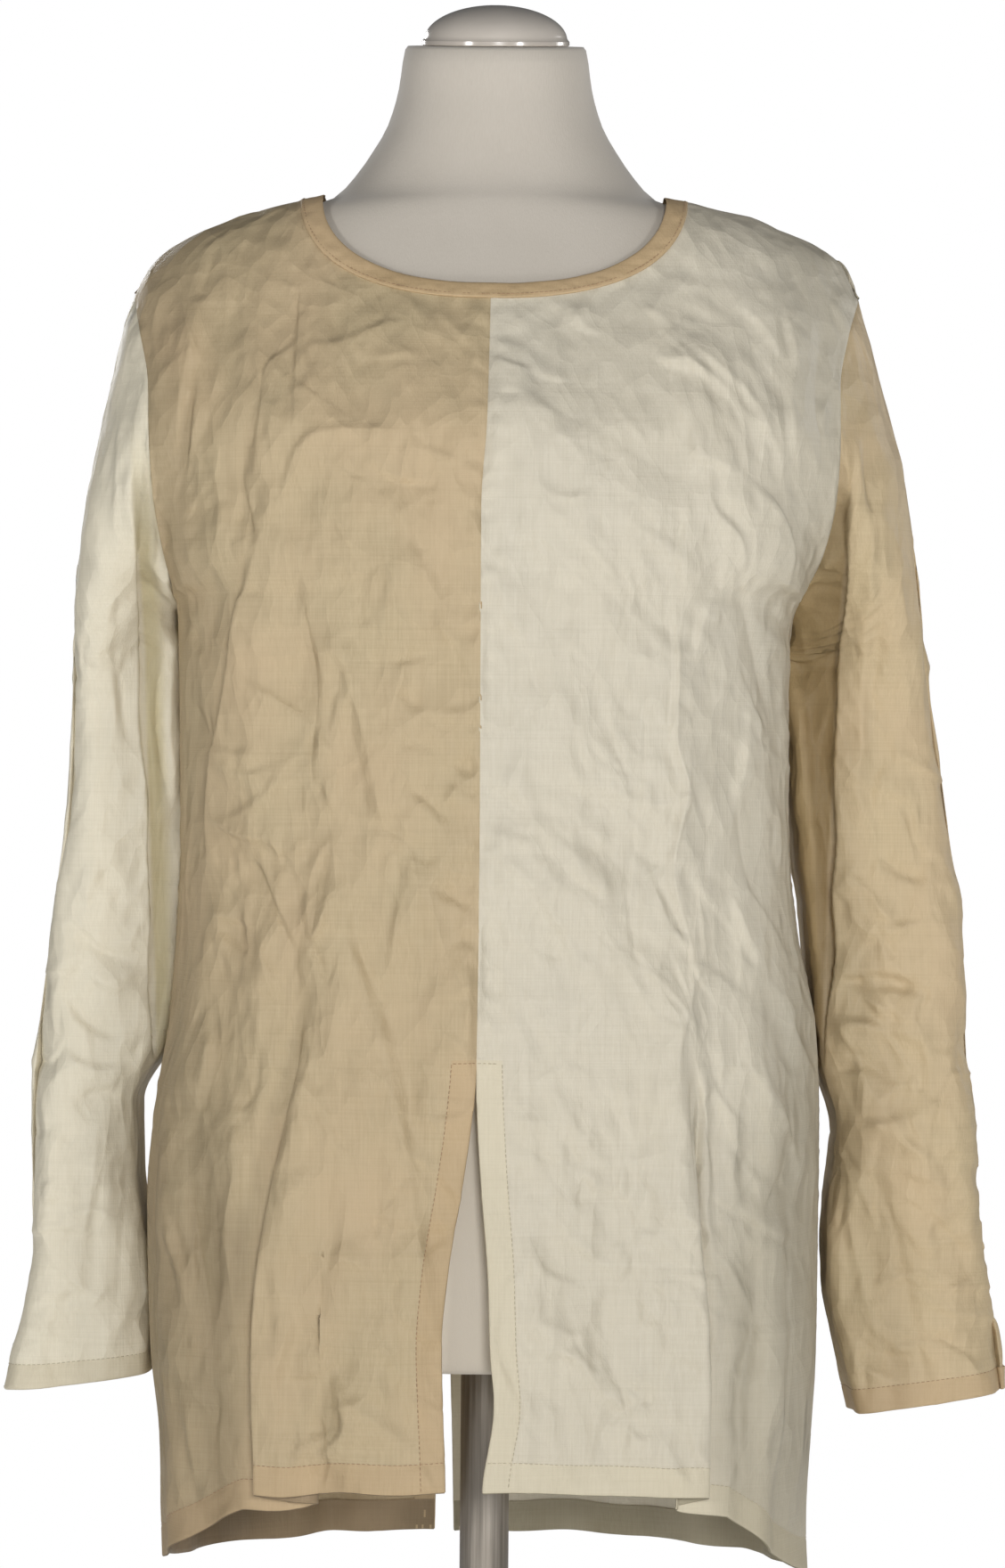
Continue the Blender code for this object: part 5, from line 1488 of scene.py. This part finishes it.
def makeStand():
    steel = steelMaterial("brushed steel", (0.20, 0.175, 0.145), (0.42, 0.38, 0.33), 0.38)
    foot = stand["baseThickness"] + stand["bossHeight"]
    top = formSections["height"][0]
    r = stand["postRadius"]
    tube = [(r - 0.0004, foot), (r, foot + 0.0004), (r, top - 0.0006), (r - 0.0003, top - 0.0003)]
    declare(turnedMesh("standPost", tube, steel, 64), "stand_post")
    wide, boss = stand["baseRadius"], stand["bossRadius"]
    plate = [(wide - 0.001, 0), (wide, 0.001), (wide, 0.0035)]
    for step in range(1, 6):
        lift = step / 5 * pi / 2
        plate.append((wide - 0.0025 * (1 - cos(lift)), 0.0035 + 0.0025 * sin(lift)))
    plate += [(boss + 0.002, 0.006), (boss, 0.0068)]
    plate += [(boss * 0.72, foot - 0.0015), (boss * 0.66, foot - 0.0003)]
    painted = glossMaterial("painted base", (0.105, 0.095, 0.083), (0.16, 0.147, 0.13), 0.42, 0.2)
    declare(turnedMesh("standBase", plate, painted, 128), "stand_base")


makeForm()
makeCap()
makeStand()
print("form and stand made")


def plainStage(name, points, faces, colour, glow=0.0, fade=None):
    mesh = bpy.data.meshes.new(name)
    mesh.from_pydata(points, [], faces)
    material, links, shader = newMaterial(name)
    shader.inputs["Base Color"].default_value = (*colour, 1)
    shader.inputs["Roughness"].default_value = 0.85
    if glow:
        shader.inputs["Emission Color"].default_value = (1, 1, 1, 1)
        shader.inputs["Emission Strength"].default_value = glow
        shader.inputs["Specular IOR Level"].default_value = 0
        material.cycles.emission_sampling = "NONE"
    if fade:  # the floor's edge runs out into the white
        away = node(material, "VectorMath", operation="LENGTH")
        links.new(node(material, "TexCoord").outputs["Object"], away.inputs[0])
        shader.inputs["Emission Color"].default_value = (1, 1, 1, 1)
        links.new(remap(material, away.outputs["Value"], *fade, 0, 1), shader.inputs["Emission Strength"])
    mesh.materials.append(material)
    sheet = addObject(name, mesh)
    if glow:  # seen white, but it doesn't flatten the creases with its own light
        sheet.visible_diffuse = sheet.visible_glossy = sheet.visible_transmission = False


# sizes in metres; the floor fades out between two distances from the stand
stage = {
    "floorRadius": 3.4, "fade": (1.1, 3.1), "wallRadius": 9.4, "wallFrom": -2, "wallTo": 3.6, "corners": 64,
}


def makeStage():
    count = stage["corners"]
    turns = [2 * pi * k / count for k in range(count)]
    floor = [(stage["floorRadius"] * cos(a), stage["floorRadius"] * sin(a), 0) for a in turns]
    plainStage("floor", floor, [tuple(range(count))], (0.88, 0.875, 0.865), fade=stage["fade"])
    r = stage["wallRadius"]
    wall = [(r * cos(a), r * sin(a), z) for z in (stage["wallFrom"], stage["wallTo"]) for a in turns]
    sides = [(n, (n + 1) % count, count + (n + 1) % count, count + n) for n in range(count)]
    plainStage("backdrop", wall, sides, (0, 0, 0), glow=1.0)


makeStage()

studio = {
    "ambient": 0.097,
    # place, what it points at, size, watts
    "key": ((0.3, -3.1, 1.35), (0, 0, 1.15), 0.5, 34.5),
    "left": ((-2.1, -2.3, 1.15), (0, 0, 1.1), 0.45, 22),
    "right": ((1.9, -2.4, 1.2), (0, 0, 1.15), 0.45, 16.8),
    "rim": ((2.7, 1.6, 2.0), (0, 0, 1.1), 1.0, 21.2),
    "rear": ((-1.4, 3.1, 2.1), (0, 0, 1.1), 0.9, 35.4),
}


def lightStudio():
    world = bpy.data.worlds.new("studio")
    world.use_nodes = True
    world.node_tree.nodes["Background"].inputs["Color"].default_value = (0.97, 0.98, 1.0, 1)
    world.node_tree.nodes["Background"].inputs["Strength"].default_value = studio["ambient"]
    bpy.context.scene.world = world
    for name in ("key", "left", "right", "rim", "rear"):
        place, aim, size, watts = studio[name]
        data = bpy.data.lights.new(name, "AREA")
        data.energy, data.size = watts, size
        lamp = addObject(name, data)
        lamp.location = place
        lamp.rotation_euler = (Vector(aim) - Vector(place)).to_track_quat("-Z", "Y").to_euler()


shot = {"distance": 2.6, "height": 1.112, "aside": 0.007, "lens": 106.4, "roll": -0.45}


def placeCamera():
    data = bpy.data.cameras.new("camera")
    data.lens, data.sensor_width = shot["lens"], 36
    camera = addObject("camera", data)
    camera.location = (shot["aside"], -shot["distance"], shot["height"])
    camera.rotation_euler = (pi / 2, radians(shot["roll"]), 0)
    bpy.context.scene.camera = camera
    bpy.context.scene.view_settings.view_transform = "Standard"


lightStudio()
placeCamera()
print("studio ready")
